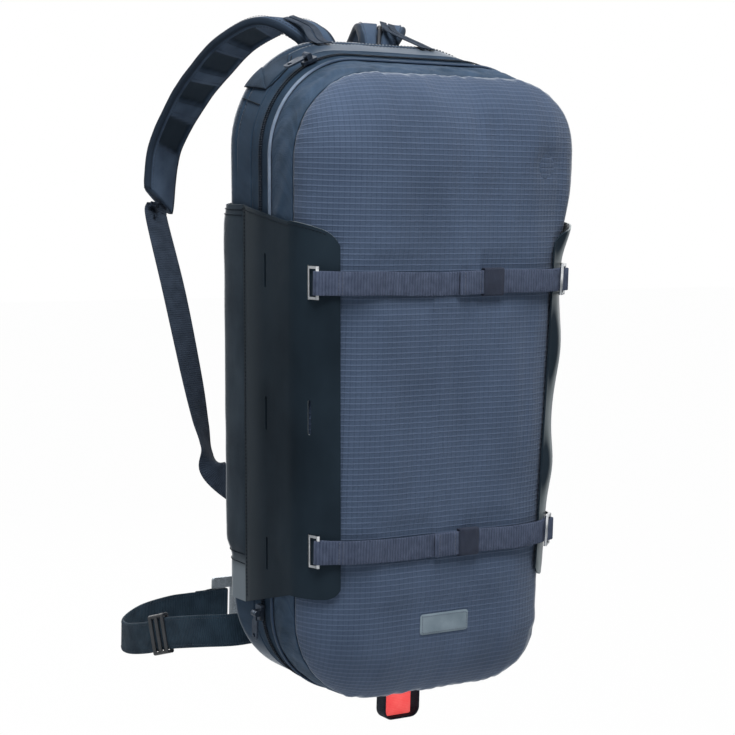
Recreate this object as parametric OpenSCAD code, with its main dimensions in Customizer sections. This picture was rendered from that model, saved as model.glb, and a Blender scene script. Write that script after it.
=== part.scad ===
// Avalanche airbag backpack. The back of the pack faces +Y, the front panel faces -Y, +Z is up.
// The origin is the centre of the back panel's contact face.

/* [Pack body] */
// Height of the pack at its rear wall
pack_h = 577; // [555:1:600]
// Height of the front panel's top seam above the base
front_h = 541; // [520:1:560]
// Width of the pack at the back panel's centre
pack_w = 263; // [250:1:285]
// Lean of each side wall from upright, in degrees
side_lean = 1.7; // [1:0.1:3]
// Depth from the rear wall to the front seam
pack_d = 122; // [112:1:135]
// Height of the back panel's centre above the base
base_drop = 291; // [280:1:300]
// Corner radius at the top of the rear wall
back_corner_r = 98; // [85:1:110]
// Corner radius at the top of the front seam
front_corner_r = 75; // [66:1:95]
// Corner radius at the base
base_corner_r = 80; // [70:1:90]
// How much tighter the right-hand corners are rounded, where the load fills them
right_fill = 15; // [0:1:18]
// How far the load pushes the front out to the right, above and below the wing
right_puff = 9; // [0:0.5:10]
// Rounding of the rear edge
rear_edge_r = 25; // [20:1:28]
// Thickness of the body's lined fabric
fabric_t = 2; // [1.5:0.1:3]
// Gap between neighbouring sewn pieces
seam_gap = 0.2; // [0.1:0.05:0.4]

/* [Front panel and zip] */
// How far the front panel stands out from its seam
front_bulge = 44; // [34:1:52]
// Width of the front panel's rounded rim
rim_w = 62; // [54:1:70]
// Depth of the gusset band behind the front seam
gusset_w = 35; // [28:1:38]
// Depth of the zip tape behind the gusset
zip_tape_w = 33; // [30:1:36]
// Width of the zip's coil
coil_w = 6; // [4:0.5:8]
// Height of the zip's coil above the tape
coil_h = 1.2; // [0.8:0.1:2]
// Diameter of the piping
piping_d = 1.6; // [1.2:0.1:1.8]
// Width of the bare label
label_w = 50; // [40:1:60]
// Height of the bare label
label_h = 18; // [14:1:22]
// Thickness of the label
label_t = 1; // [0.6:0.1:1.6]
// Height of the label's middle above the base
label_at = 71; // [62:1:80]

/* [Side wings] */
// Thickness of the coated wing
wing_t = 1.5; // [1:0.1:2]
// Room between the wing and the pack for the hooks
wing_gap = 2.2; // [2:0.1:3]
// Depth of the wing's side, from the front seam to its rear seam
wing_d = 80; // [74:1:86]
// How far the wing reaches onto the front panel
flap_w = 25; // [22:1:32]
// Height of the wing's top at its rear seam above the base
wing_top_rear = 426; // [415:1:438]
// Height of the wing's top at the front seam
wing_top_seam = 415; // [404:1:424]
// Height of the wing's top at the flap's edge
wing_top_flap = 404; // [392:1:412]
// Height of the wing's bottom at its rear seam
wing_foot_rear = 76; // [68:1:86]
// Height of the wing's bottom on the flap
wing_foot = 99; // [90:1:106]
// Rounding of the flap's corners
flap_r = 14; // [8:1:16]
// Length of a slot
slot_len = 29; // [28:0.5:34]
// Width of a slot
slot_w = 3; // [2.6:0.1:4]
// Distance between neighbouring slots in the rear column
slot_pitch = 122; // [112:1:132]
// Height of the rear column's middle slot above the base
slot_mid = 250; // [242:1:258]
// Distance of the rear slots behind the front seam
slot_back = 38; // [32:1:44]
// Distance of the flap's slots in from the side
slot_inset = 6.5; // [5.5:0.5:9]

/* [Airbag sleeves] */
// Height of the sleeve's foot above the base
sleeve_foot = 112; // [104:1:124]
// How far the sleeve swells from the pack
sleeve_swell = 5.5; // [4.5:0.5:8]
// Thickness of the sleeve's fabric
sleeve_t = 1.5; // [1:0.1:2]
// How far the sleeve wraps round the rear edge, in degrees
sleeve_wrap = 65; // [55:1:70]

/* [Compression straps] */
// Width of the webbing
web_w = 20; // [16:1:22]
// Thickness of the webbing
web_t = 1.5; // [1.2:0.1:2]
// Height of the upper strap above the base
upper_strap_at = 366; // [356:1:373]
// Height of the lower strap above the base
lower_strap_at = 141; // [134:1:150]
// Where the upper strap's tail ends, right of the middle
upper_tail_at = 4; // [-6:1:10]
// Where the lower strap's tail ends, right of the middle
lower_tail_at = -14; // [-24:1:-6]
// Length of the folded hem at a tail's end
hem_len = 23; // [16:1:26]
// Width of a keeper along its strap
keeper_w = 21; // [15:1:23]
// Thickness of a keeper's wall
keeper_t = 1; // [0.8:0.1:1.4]
// Diameter of the bars of the hooks and buckles
bar_d = 3; // [2.5:0.1:3.5]
// Thickness of a hook's plate
hook_t = 1.2; // [1:0.1:1.4]

/* [Zip pulls] */
// Length of a slider
slider_len = 14; // [11:0.5:18]
// Width of a slider
slider_w = 11; // [9:0.5:13]
// Height of a slider's plate
slider_h = 3; // [2.5:0.1:4]
// Length of a puller
puller_len = 24; // [21:1:30]
// Width of a puller
puller_w = 9; // [7:0.5:11]
// Thickness of a puller
puller_t = 1.8; // [1.4:0.1:2.2]
// Diameter of the hole in a puller
puller_hole = 4; // [3:0.1:5]
// Diameter of a slider's pin
pin_d = 2; // [1.6:0.1:2.6]
// Place of the top slider round its corner, in degrees
top_slider_at = 117; // [108:1:122]
// Place of the bottom slider round its corner, in degrees
bottom_slider_at = 185; // [184:1:206]

/* [Back and frame] */
// Thickness of the back panel
back_pad_t = 12; // [9:0.5:16]
// Width of the back panel
back_pad_w = 180; // [160:1:184]
// Distance from the pack's top down to the back panel
back_pad_top = 96; // [92:1:120]
// Distance from the pack's base up to the back panel
back_pad_foot = 101; // [96:1:116]
// Width of the lumbar pad
lumbar_w = 110; // [90:1:120]
// Height of the lumbar pad
lumbar_h = 44; // [36:1:48]
// Depth of the air channels in the back panel
channel_depth = 5; // [3:0.5:7]
// Thickness of the frame sheet
sheet_t = 1.5; // [1:0.1:2.5]
// Width of a frame stay
stay_w = 12; // [8:1:16]
// Thickness of a frame stay
stay_t = 3; // [2:0.5:4]
// Length of a frame stay
stay_len = 370; // [330:1:376]

/* [Inflation system] */
// Diameter of the gas cartridge
cartridge_d = 50; // [44:1:54]
// Length of the cartridge's body
cartridge_len = 180; // [150:1:200]
// Diameter of the cartridge's neck
neck_d = 16; // [13:0.5:18]
// Length of the cartridge's neck
neck_len = 14; // [10:1:18]
// Height of the cartridge's foot above the base
cartridge_at = 163; // [150:1:172]
// Distance of the cartridge from the middle
cartridge_x = 60; // [54:1:66]
// Diameter of the inflation unit
unit_d = 40; // [36:1:44]
// Height of the inflation unit
unit_h = 46; // [40:1:54]
// Outer diameter of a hose
hose_d = 12; // [10:0.5:14]
// Wall of a hose
hose_wall = 2; // [1.5:0.1:2.5]
// Diameter of the release lever's pin
lever_pin_d = 4; // [3:0.1:5]
// Length of the release lever
lever_len = 18; // [14:1:24]
// Diameter of the pull cable
cable_d = 4; // [3:0.1:4.5]
// Length of the trigger handle's grip
grip_len = 72; // [60:1:80]
// Diameter of the trigger handle's grip
grip_d = 16; // [13:0.5:19]
// Diameter of the trigger handle's stem
stem_d = 7; // [6:0.1:8]

/* [Shoulder straps] */
// Distance of a strap's root from the middle
strap_x = 24; // [20:1:30]
// Width of a strap at its root
strap_root_w = 30; // [26:1:34]
// Width of a strap at the shoulder
strap_w = 51; // [44:1:56]
// Width of a strap at its end
strap_end_w = 46; // [38:1:50]
// Thickness of a strap
strap_t = 11; // [9:0.5:13]
// Depth of the recessed windows
window_depth = 3; // [2:0.5:4]
// Width of the lower webbing
strap_web_w = 25; // [20:1:28]
// Width of a load lifter
lifter_w = 15; // [12:1:20]

/* [Hip belt] */
// Width of the belt
belt_w = 30; // [25:1:34]
// Thickness of the belt
belt_t = 3; // [2:0.1:4]
// Distance of the buckle in front of the back panel
belt_loop_d = 222; // [210:1:240]
// Place of the buckle, right of the middle
buckle_x = 30; // [20:1:34]
// Width of the buckle's housing
buckle_w = 38; // [34:1:44]
// Height of the buckle above the belt's edges
buckle_lip = 12; // [8:0.5:14]
// Width of the buckle's bar, which the left belt is folded round
buckle_bar = 14; // [11:0.5:16]
// Width of the slot beside the bar
buckle_slot = 9; // [8:0.5:11]
// Thickness of the bar
buckle_bar_t = 3; // [2.4:0.1:3.6]
// Thickness of the buckle
buckle_t = 9; // [8:0.5:12]
// Diameter of the buckle's button
button_d = 12; // [9:0.5:14]
// Length of the slider on the belt
triglide_len = 26; // [20:1:30]

/* [Base loop] */
// Width of the loop under the base
loop_w = 36; // [34:1:48]
// Depth of the loop under the base
loop_drop = 30; // [24:1:36]
// Width of the loop's webbing
loop_web = 14; // [12:1:22]

/* [Hidden] */
$fn = 48;

// Running clearance between pieces that move, and between soft pieces
clear = 0.3;
// Points in each corner arc of the pack's outline, and in each rounded rim
arc_n = 9;
rim_n = 7;
min_corner_r = 12;

rear_y = -back_pad_t;
seam_y = rear_y - pack_d;
gusset_y = seam_y + gusset_w;
zip_y = gusset_y + zip_tape_w;
zip_line_y = (gusset_y + zip_y) / 2;
front_y = seam_y - front_bulge;
base_z = -base_drop;
back_top_z = base_z + pack_h;
puff_run = 65;
puff_top = base_z + max(wing_top_seam, upper_strap_at + 2 * web_w) + 2;
puff_foot = base_z + wing_foot_rear - 2;

fabric_blue = [0.29, 0.33, 0.43];
band_blue = [0.30, 0.35, 0.41];
charcoal = [0.14, 0.16, 0.18];
slate = [0.29, 0.30, 0.36];
steel = [0.75, 0.76, 0.78];
padding = [0.17, 0.20, 0.25];

function unit(v) = v / norm(v);
function reversed(p) = [for (i = [len(p) - 1:-1:0]) p[i]];
function mirrored(p) = [for (q = p) [-q[0], q[1], q[2]]];

// Arc of n steps that rounds corner k of the outline p, which runs anticlockwise
function corner_centre(p, k, r) =
    let (
        m = len(p),
        u = unit(p[(k + m - 1) % m] - p[k]),
        v = unit(p[(k + 1) % m] - p[k])
    ) p[k] + unit(u + v) * r / sin(acos(u * v) / 2);
function corner_arc(p, k, r, n) =
    let (
        m = len(p),
        u = unit(p[(k + m - 1) % m] - p[k]),
        v = unit(p[(k + 1) % m] - p[k]),
        centre = corner_centre(p, k, r),
        reach = r / tan(acos(u * v) / 2),
        from = p[k] + u * reach - centre,
        to = p[k] + v * reach - centre,
        start = atan2(from[1], from[0]),
        turn = atan2(to[1], to[0]) - start,
        swing = turn < 0 ? turn + 360 : turn
    ) [for (i = [0:n]) centre + r * [cos(start + swing * i / n), sin(start + swing * i / n)]];
function rounded(p, r, n = 8) =
    [for (k = [0:len(p) - 1]) each (r[k] > 0 ? corner_arc(p, k, r[k], n) : [p[k]])];
function rounded_box(w, h, r) =
    rounded([[-w / 2, -h / 2], [w / 2, -h / 2], [w / 2, h / 2], [-w / 2, h / 2]], [r, r, r, r]);

// Outline of the pack at depth y, drawn in by inset, with x and z as its plane
function half_w(z) = pack_w / 2 + z * tan(side_lean);
function share(y) = min(1, max(0, (rear_y - y) / pack_d));
function top_z(y) = back_top_z + (front_h - pack_h) * share(y);
function top_corner_r(y) = back_corner_r + (front_corner_r - back_corner_r) * share(y);
function corners(y, inset) =
    let (low = base_z + inset, high = top_z(y) - inset, d = inset / cos(side_lean))
    [[d - half_w(low), low], [half_w(low) - d, low], [half_w(high) - d, high], [d - half_w(high), high]];
function radii(y, inset) = let (top = top_corner_r(y))
    [for (r = [base_corner_r, base_corner_r - right_fill, top - right_fill, top]) max(min_corner_r, r - inset)];
function ease(t) = let (s = min(1, max(0, t))) s * s * (3 - 2 * s);
// Push of the load to the right: none behind the zip, and none at the height of the wing
function puff(p, y) = right_puff * ease(p[0] / pack_w * 2) * min(1, max(0, (zip_y - y) / (zip_y - seam_y)))
    * (ease((p[1] - puff_top) / puff_run) + ease((puff_foot - p[1]) / puff_run));
// Points along the right wall, between its two corner arcs
function wall_points(inset) =
    let (
        foot = puff_foot + 6,
        end = top_z(seam_y) - inset - radii(seam_y, inset)[2],
        d = inset / cos(side_lean)
    )
    [for (t = [0, 0.8, 0.85, 0.9, 0.95]) let (z = foot + (end - foot) * t) [half_w(z) - d, z]];
function outline(y, inset) =
    let (p = corners(y, inset), r = radii(y, inset))
    concat(
        corner_arc(p, 0, r[0], arc_n), corner_arc(p, 1, r[1], arc_n), wall_points(inset),
        corner_arc(p, 2, r[2], arc_n), corner_arc(p, 3, r[3], arc_n)
    );
function ring(y, inset = 0) = [for (q = outline(y, inset)) [q[0] + puff(q, y), y, q[1]]];

// Closed skin through a row of rings with as many points each
function loft_faces(m, n, looped) = [
    for (i = [0:(looped ? m - 1 : m - 2)], j = [0:n - 1])
        let (
            a = i * n + j,
            b = i * n + (j + 1) % n,
            c = ((i + 1) % m) * n + (j + 1) % n,
            d = ((i + 1) % m) * n + j
        ) each [[a, c, b], [a, d, c]],
    if (!looped) [for (j = [0:n - 1]) j],
    if (!looped) [for (j = [n - 1:-1:0]) (m - 1) * n + j]
];
module loft(rings, looped = false) {
    polyhedron(
        points = [for (r = rings) each r],
        faces = loft_faces(len(rings), len(rings[0]), looped),
        convexity = 8
    );
}

// Smooth path through chosen points, k steps to each stretch
function cubic(a, b, c, d, t) =
    b + (c - a) * t / 2 + (2 * a - 5 * b + 4 * c - d) * t * t / 2 + (3 * b - a - 3 * c + d) * t * t * t / 2;
function curve(p, k) = [
    for (i = [0:len(p) - 2], j = [0:k - 1])
        cubic(p[max(i - 1, 0)], p[i], p[i + 1], p[min(i + 2, len(p) - 1)], j / k),
    p[len(p) - 1]
];
function heading(path, i) = unit(path[min(i + 1, len(path) - 1)] - path[max(i - 1, 0)]);
function across(path, side, i) = let (t = heading(path, i)) unit(side[i] - t * (side[i] * t));
function facing(path, side, i) = cross(heading(path, i), across(path, side, i));
function on_path(path, side, i, s) = path[i] + across(path, side, i) * s[0] + facing(path, side, i) * s[1];
function sweep_rings(path, side, sections) =
    [for (i = [0:len(path) - 1]) [for (s = sections[i]) on_path(path, side, i, s)]];
function alike(path, section) = [for (q = path) section];
function band(w, t) = [[w / 2, t / 2], [-w / 2, t / 2], [-w / 2, -t / 2], [w / 2, -t / 2]];
function circle_points(d, n) = [for (i = [0:n - 1]) d / 2 * [cos(360 * i / n), sin(360 * i / n)]];
// Places its children in the frame of a path: x across, y facing, z along
module at_path(path, side, i) {
    w = across(path, side, i);
    n = facing(path, side, i);
    t = heading(path, i);
    p = path[i];
    multmatrix([[w[0], n[0], t[0], p[0]], [w[1], n[1], t[1], p[1]], [w[2], n[2], t[2], p[2]], [0, 0, 0, 1]])
        children();
}
// Flat strip of thickness t along a plane path
function strip_normal(p, i) = let (t = heading(p, i)) [-t[1], t[0]];
function strip(p, t) = concat(
    [for (i = [0:len(p) - 1]) p[i] + strip_normal(p, i) * t / 2],
    reversed([for (i = [0:len(p) - 1]) p[i] - strip_normal(p, i) * t / 2])
);
// Draws a plane shape, given as y and z, out along x
module along_x(len) {
    rotate([90, 0, 90]) linear_extrude(len, center = true) children();
}
// Draws a plane shape, given as x and z, out along y
module along_y(len) {
    rotate([90, 0, 0]) linear_extrude(len, center = true) children();
}

// Pack body

module main_body() {
    edge_n = 5;
    inner_r = rear_edge_r - fabric_t;
    outer = [for (i = [0:edge_n]) let (a = 90 * i / edge_n)
        ring(rear_y - rear_edge_r * (1 - cos(a)), rear_edge_r * (1 - sin(a)))];
    rim = [ring(zip_y + seam_gap, 0), ring(zip_y + seam_gap, fabric_t)];
    inner = [for (i = [edge_n:-1:0]) let (a = 90 * i / edge_n)
        ring(rear_y - fabric_t - inner_r * (1 - cos(a)), fabric_t + inner_r * (1 - sin(a)))];
    color(charcoal) difference() {
        loft(concat(outer, rim, inner));
        for (x = [-1, 1])
            translate([x * half_w(port_z), port_y, port_z])
                rotate([0, 90, 0]) cylinder(d = port_d + 2 * clear, h = port_reach, center = true);
        translate(cable_exit) rotate([90, 0, 0])
            cylinder(d = grommet_d + 2 * clear, h = 4 * fabric_t, center = true);
    }
}

module front_panel() {
    inner = [for (i = [rim_n:-1:0]) let (a = 90 * i / rim_n)
        ring(seam_y - (front_bulge - fabric_t) * sin(a), fabric_t + (rim_w - fabric_t) * (1 - cos(a)))];
    outer = [for (i = [0:rim_n]) let (a = 90 * i / rim_n)
        ring(seam_y - front_bulge * sin(a), rim_w * (1 - cos(a)))];
    color(fabric_blue) loft(concat(inner, outer));
}

module body_band(from, to, inset, t) {
    loft([ring(from, inset), ring(to, inset), ring(to, inset + t), ring(from, inset + t)], looped = true);
}

module gusset_band() {
    color(band_blue) body_band(gusset_y, seam_y + seam_gap, 0, fabric_t);
}

module gusset_piping() {
    sides = 6;
    color([0.48, 0.52, 0.58]) loft([for (i = [0:sides - 1]) let (a = 360 * i / sides)
        ring(gusset_y - piping_d / 2 * sin(a), -seam_gap - piping_d / 2 * (1 + cos(a)))], looped = true);
}

module main_zip_tape() {
    run = [zip_y, zip_line_y + coil_w / 2, zip_line_y - coil_w / 2, gusset_y + seam_gap];
    color([0.17, 0.18, 0.24]) loft(
        concat([for (y = run) ring(y)], [for (y = reversed(run)) ring(y, fabric_t)]), looped = true
    );
}

module zip_coil() {
    color([0.12, 0.13, 0.16])
        body_band(zip_line_y + coil_w / 2, zip_line_y - coil_w / 2, -seam_gap - coil_h, coil_h);
}

// Frame on the pack's outline: x along the zip, y across it, z outwards
module on_corner(k, y, angle, tilt = 0) {
    c = corner_centre(corners(y, 0), k, radii(y, 0)[k]);
    r = radii(y, 0)[k];
    p = [c[0] + r * cos(angle), y, c[1] + r * sin(angle)];
    multmatrix([
        [-sin(angle), 0, cos(angle), p[0]], [0, -1, 0, p[1]], [cos(angle), 0, sin(angle), p[2]], [0, 0, 0, 1]
    ]) rotate([tilt, 0, 0]) children();
}
function outline_at(k, y, angle) =
    let (c = corner_centre(corners(y, 0), k, radii(y, 0)[k])) c + radii(y, 0)[k] * [cos(angle), sin(angle)];
// Slope of the outline across the zip, where the top falls towards the front
function zip_slope(k, angle) =
    atan((outline_at(k, zip_line_y - 1, angle) - outline_at(k, zip_line_y + 1, angle)) * [cos(angle), sin(angle)] / 2);

top_left = 3;
top_right = 2;
base_left = 0;
slider_seat = seam_gap + coil_h + 0.6;
pin_h = slider_seat + slider_h + pin_d / 2 + 2.2;
eye_d = pin_d + 3.2;
eye_w = 4;
ear_t = 1.6;

module zip_slider() {
    ear_gap = eye_w / 2 + clear;
    difference() {
        translate([0, 0, slider_seat]) linear_extrude(slider_h)
            polygon(rounded([[-slider_len / 2, -slider_w / 2], [slider_len / 2, -slider_w * 0.32],
                [slider_len / 2, slider_w * 0.32], [-slider_len / 2, slider_w / 2]], [2, 2, 2, 2], 4));
        translate([0, 0, slider_seat + slider_h + eye_d]) rotate([90, 0, 0])
            cylinder(d = eye_d + 1, h = eye_w + 2 * clear, center = true);
    }
    for (s = [-1, 1]) {
        translate([0, s * (ear_gap + ear_t / 2), pin_h]) rotate([90, 0, 0])
            cylinder(d = eye_d, h = ear_t, center = true);
        translate([-eye_d / 2, s * (ear_gap + ear_t / 2) - ear_t / 2, slider_seat + slider_h - 0.5])
            cube([eye_d, ear_t, pin_h - slider_seat - slider_h + 0.5]);
    }
    translate([0, 0, pin_h]) rotate([90, 0, 0])
        cylinder(d = pin_d, h = 2 * ear_gap + ear_t, center = true);
}

module zip_puller(lift) {
    neck = eye_d / 2 + 3;
    translate([0, 0, pin_h]) rotate([0, -lift, 0]) difference() {
        union() {
            rotate([90, 0, 0]) cylinder(d = eye_d, h = eye_w, center = true);
            translate([0, -eye_w / 2, -puller_t / 2]) cube([neck + 1, eye_w, puller_t]);
            translate([0, 0, -puller_t / 2]) linear_extrude(puller_t)
                polygon(rounded([[neck, -puller_w / 2], [puller_len, -puller_w * 0.42],
                    [puller_len, puller_w * 0.42], [neck, puller_w / 2]], [2, 3, 3, 2], 5));
        }
        rotate([90, 0, 0]) cylinder(d = pin_d + clear, h = eye_w + 1, center = true);
        translate([puller_len - puller_hole - 1, 0, 0])
            cylinder(d = puller_hole, h = 2 * puller_t, center = true);
    }
}

module top_zip_slider() {
    color("dimgray") on_corner(top_left, zip_line_y, top_slider_at, zip_slope(top_left, top_slider_at))
        zip_slider();
}
module top_zip_puller() {
    color("dimgray") on_corner(top_left, zip_line_y, top_slider_at, zip_slope(top_left, top_slider_at))
        zip_puller(0);
}
module bottom_zip_slider() {
    color("dimgray") on_corner(base_left, zip_line_y, bottom_slider_at) zip_slider();
}
module bottom_zip_puller() {
    color("dimgray") on_corner(base_left, zip_line_y, bottom_slider_at) zip_puller(bottom_slider_at - 180);
}

tab_len = 22;
tab_w = 14;
tab_t = 1.5;
tab_at = 140;

module corner_tabs() {
    y = rear_y - rear_edge_r - tab_w / 2 - 1;
    color(charcoal) for (k = [top_right, top_left]) {
        angle = k == top_left ? tab_at : 180 - tab_at;
        on_corner(k, y, angle, zip_slope(k, angle)) translate([0, 0, clear]) linear_extrude(tab_t)
            polygon(rounded_box(tab_len, tab_w, 4));
    }
}

// Side wings and the airbag sleeves behind them, drawn for the right side with x outwards from the wall

module on_side(left) {
    mirror([left ? 1 : 0, 0, 0]) translate([pack_w / 2, 0, 0]) rotate([0, side_lean, 0]) children();
}
function rim_normal(a) = unit([front_bulge * cos(a), -rim_w * sin(a)]);
function rim_point(a, off) =
    [-rim_w * (1 - cos(a)), seam_y - front_bulge * sin(a)] + rim_normal(a) * off;

wing_rear_y = seam_y + wing_d;
wing_seat = clear;
flap_a = acos(1 - flap_w / rim_w);
slot_a = acos(1 - slot_inset / rim_w);
slot_y = seam_y + slot_back;
slot_z = base_z + slot_mid;
upper_z = base_z + upper_strap_at;
lower_z = base_z + lower_strap_at;

function wing_line(t) = concat(
    [[wing_seat + t, wing_rear_y], [wing_gap + t, wing_rear_y - slot_back / 3]],
    [for (i = [0:rim_n + 2]) rim_point(flap_a * i / (rim_n + 2), wing_gap + t)]
);
module slot_shape() {
    straight = slot_len - slot_w;
    square([slot_w, straight], center = true);
    for (s = [-1, 1]) translate([0, s * straight / 2]) circle(d = slot_w);
}
module wing_blank() {
    margin = 30;
    intersection() {
        translate([0, 0, base_z]) linear_extrude(pack_h)
            polygon(concat(wing_line(wing_t), reversed(wing_line(0))));
        along_x(3 * rim_w) polygon([
            [wing_rear_y + 1, base_z + wing_foot_rear], [wing_rear_y + 1, base_z + wing_top_rear],
            [seam_y, base_z + wing_top_seam], [front_y - margin, base_z + wing_top_seam],
            [front_y - margin, base_z + wing_foot], [seam_y, base_z + wing_foot]
        ]);
        along_y(4 * pack_d) polygon(rounded([
            [-flap_w, base_z + wing_foot], [0, base_z + wing_foot], [0, base_z], [margin, base_z],
            [margin, back_top_z], [0, back_top_z], [0, base_z + wing_top_seam], [-flap_w, base_z + wing_top_flap]
        ], [flap_r, 0, 0, 0, 0, 0, 0, flap_r]));
    }
}
module flap_slot(z) {
    p = rim_point(slot_a, 0);
    n = rim_normal(slot_a);
    translate([p[0], p[1], z]) rotate([0, 0, atan2(n[1], n[0])])
        along_x(4 * (wing_gap + wing_t)) slot_shape();
}
module side_wing(left) {
    color(charcoal) difference() {
        on_side(left) wing_blank();
        for (i = [-1:1])
            translate([(left ? -1 : 1) * half_w(slot_z), slot_y, slot_z + i * slot_pitch])
                along_x(rim_w) slot_shape();
        on_side(left) for (z = [lower_z, (lower_z + upper_z) / 2, upper_z]) flap_slot(z);
    }
}
module side_wing_left() side_wing(true);
module side_wing_right() side_wing(false);

sleeve_n = 12;
sleeve_front_y = wing_rear_y + seam_gap;
sleeve_flat = rear_y - rear_edge_r - sleeve_front_y;
sleeve_run = sleeve_flat + rear_edge_r * sleeve_wrap * PI / 180;
function swell(s) = sleeve_swell * pow(sin(180 * s), 0.7);
function sleeve_point(s, off) =
    let (d = s * sleeve_run, b = (d - sleeve_flat) / rear_edge_r * 180 / PI)
    d < sleeve_flat ? [off, sleeve_front_y + d]
        : [-rear_edge_r, rear_y - rear_edge_r] + (rear_edge_r + off) * [cos(b), sin(b)];
module sleeve_prism(shape, short = 0) {
    low = base_z + sleeve_foot + short;
    high = base_z + wing_top_rear - short;
    translate([0, 0, low]) linear_extrude(high - low) polygon(shape);
}
module airbag_cover(left) {
    s = [for (i = [0:sleeve_n]) i / sleeve_n];
    outer = [for (q = s) sleeve_point(q, clear + sleeve_t + swell(q))];
    inner = [for (q = s) sleeve_point(q, clear + swell(q))];
    color(charcoal) on_side(left) sleeve_prism(concat(outer, reversed(inner)));
}
module airbag_cover_left() airbag_cover(true);
module airbag_cover_right() airbag_cover(false);

module airbag(left) {
    pleats = 5;
    s = [for (i = [0:2 * pleats]) 0.12 + 0.76 * i / (2 * pleats)];
    outer = [for (i = [0:2 * pleats]) sleeve_point(s[i], swell(s[i]) - (i % 2 == 0 ? 1.2 : 0))];
    inner = [for (q = s) sleeve_point(q, 3 * clear)];
    color("orangered") on_side(left) sleeve_prism(concat(outer, reversed(inner)), 2);
}
module airbag_left() airbag(true);
module airbag_right() airbag(false);

// Compression straps across the front, each sewn to a hook and looped through a buckle

web_room = 1;
hem_gap = 0.3;
web_in = wing_gap + wing_t + web_room + web_t / 2;
loop_r = bar_d / 2 + web_room + web_t / 2;
bar_off = web_in + loop_r;
bar_a = slot_a + 9;
layer = web_t + hem_gap;
keeper_seat = 0.35;
flat_off = keeper_seat + keeper_t + clear + web_t / 2;
tail_off = flat_off + layer;
bar_p = rim_point(bar_a, bar_off);

function turn_over() = let (n = rim_normal(bar_a), t = [n[1], -n[0]], steps = 8)
    [for (i = [0:steps]) bar_p - loop_r * (n * cos(180 * i / steps) + t * sin(180 * i / steps))];
function rim_run(from, to, heights, steps = 12) =
    [for (i = [0:steps]) let (a = from + (to - from) * i / steps) rim_point(a, lookup(a, heights))];
function put(p, w, dir) = [for (q = p) [dir * (w + q[0]), q[1]]];
function strap_line(w, tail_x) =
    let (
        over = web_in + layer,
        sewn = rim_run(bar_a + 19, bar_a + 1, [[0, web_in], [90, web_in]], 5),
        leave = rim_run(bar_a + 1, 90,
            [[bar_a, bar_off + loop_r], [bar_a + 12, over], [bar_a + 24, over], [90, flat_off]]),
        arrive = rim_run(90, bar_a + 1, [[bar_a, web_in], [flap_a + 4, web_in], [90, flat_off]]),
        tail = rim_run(bar_a + 1, 90,
            [[bar_a, bar_off + loop_r], [bar_a + 12, over], [flap_a + 4, over], [90, tail_off]])
    ) concat(
        put(sewn, w, -1), put(turn_over(), w, -1), put(leave, w, -1),
        put(arrive, w, 1), put(turn_over(), w, 1), put(tail, w, 1), [[tail_x, front_y - tail_off]]
    );
module compression_strap(z, tail_x) {
    color(slate) translate([0, 0, z]) linear_extrude(web_w, center = true) {
        polygon(strip(strap_line(half_w(z), tail_x), web_t));
        translate([tail_x, front_y - tail_off - 1.4 * web_t]) square([hem_len, 1.4 * web_t]);
    }
}
module upper_strap() compression_strap(upper_z, upper_tail_at);
module lower_strap() compression_strap(lower_z, lower_tail_at);

hook_h = web_w + 7.6;
rail_t = 2.2;
module strap_hook() {
    plate = concat(
        [for (d = [-9, -6, -3]) rim_point(slot_a + d, wing_gap / 2)],
        [rim_point(slot_a - 1.2, wing_gap * 0.55), rim_point(slot_a - 0.3, wing_gap * 0.8)],
        [rim_point(slot_a, wing_gap + wing_t * 0.7), rim_point(slot_a + 0.2, wing_gap + wing_t + 1.6)]
    );
    rail = [rim_point(slot_a + 0.2, wing_gap + wing_t + 1.4), bar_p];
    linear_extrude(hook_h, center = true) polygon(strip(plate, hook_t));
    for (s = [-1, 1]) translate([0, 0, s * (hook_h - rail_t) / 2])
        linear_extrude(rail_t, center = true) polygon(strip(rail, 1.6));
    translate([bar_p[0], bar_p[1], 0]) cylinder(d = bar_d, h = hook_h, center = true);
}
module strap_hooks() {
    color(steel) for (z = [upper_z, lower_z]) on_side(true) translate([0, 0, z]) strap_hook();
}
// A buckle is a hook with a second bar that lies over the strap's tail
module strap_buckle() {
    far_p = rim_point(bar_a + 15, web_in + layer + web_t / 2 + web_room + bar_d / 2);
    strap_hook();
    for (s = [-1, 1]) translate([0, 0, s * (hook_h - rail_t) / 2])
        linear_extrude(rail_t, center = true) polygon(strip([bar_p, far_p], 2.4));
    translate([far_p[0], far_p[1], 0]) cylinder(d = bar_d, h = hook_h, center = true);
}
module strap_buckles() {
    color(steel) for (z = [upper_z, lower_z]) on_side(false) translate([0, 0, z]) strap_buckle();
}

keeper_room = 2 * web_t + hem_gap + 2 * clear;
keeper_open = web_w + 1;
module keeper(z, tail_x) {
    x = tail_x + hem_len + keeper_w / 2 + 2 * clear;
    y = front_y - keeper_seat - keeper_t - keeper_room / 2;
    color([0.23, 0.23, 0.28]) translate([x, y, z]) along_x(keeper_w) difference() {
        polygon(rounded_box(keeper_room + 2 * keeper_t, keeper_open + 3 * keeper_t, 1.2));
        square([keeper_room, keeper_open], center = true);
    }
}
module upper_keeper() keeper(upper_z, upper_tail_at);
module lower_keeper() keeper(lower_z, lower_tail_at);

module label_patch() {
    color([0.44, 0.49, 0.52]) translate([0, front_y - clear - label_t / 2, base_z + label_at])
        along_y(label_t) polygon(rounded_box(label_w, label_h, 2));
}

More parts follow.
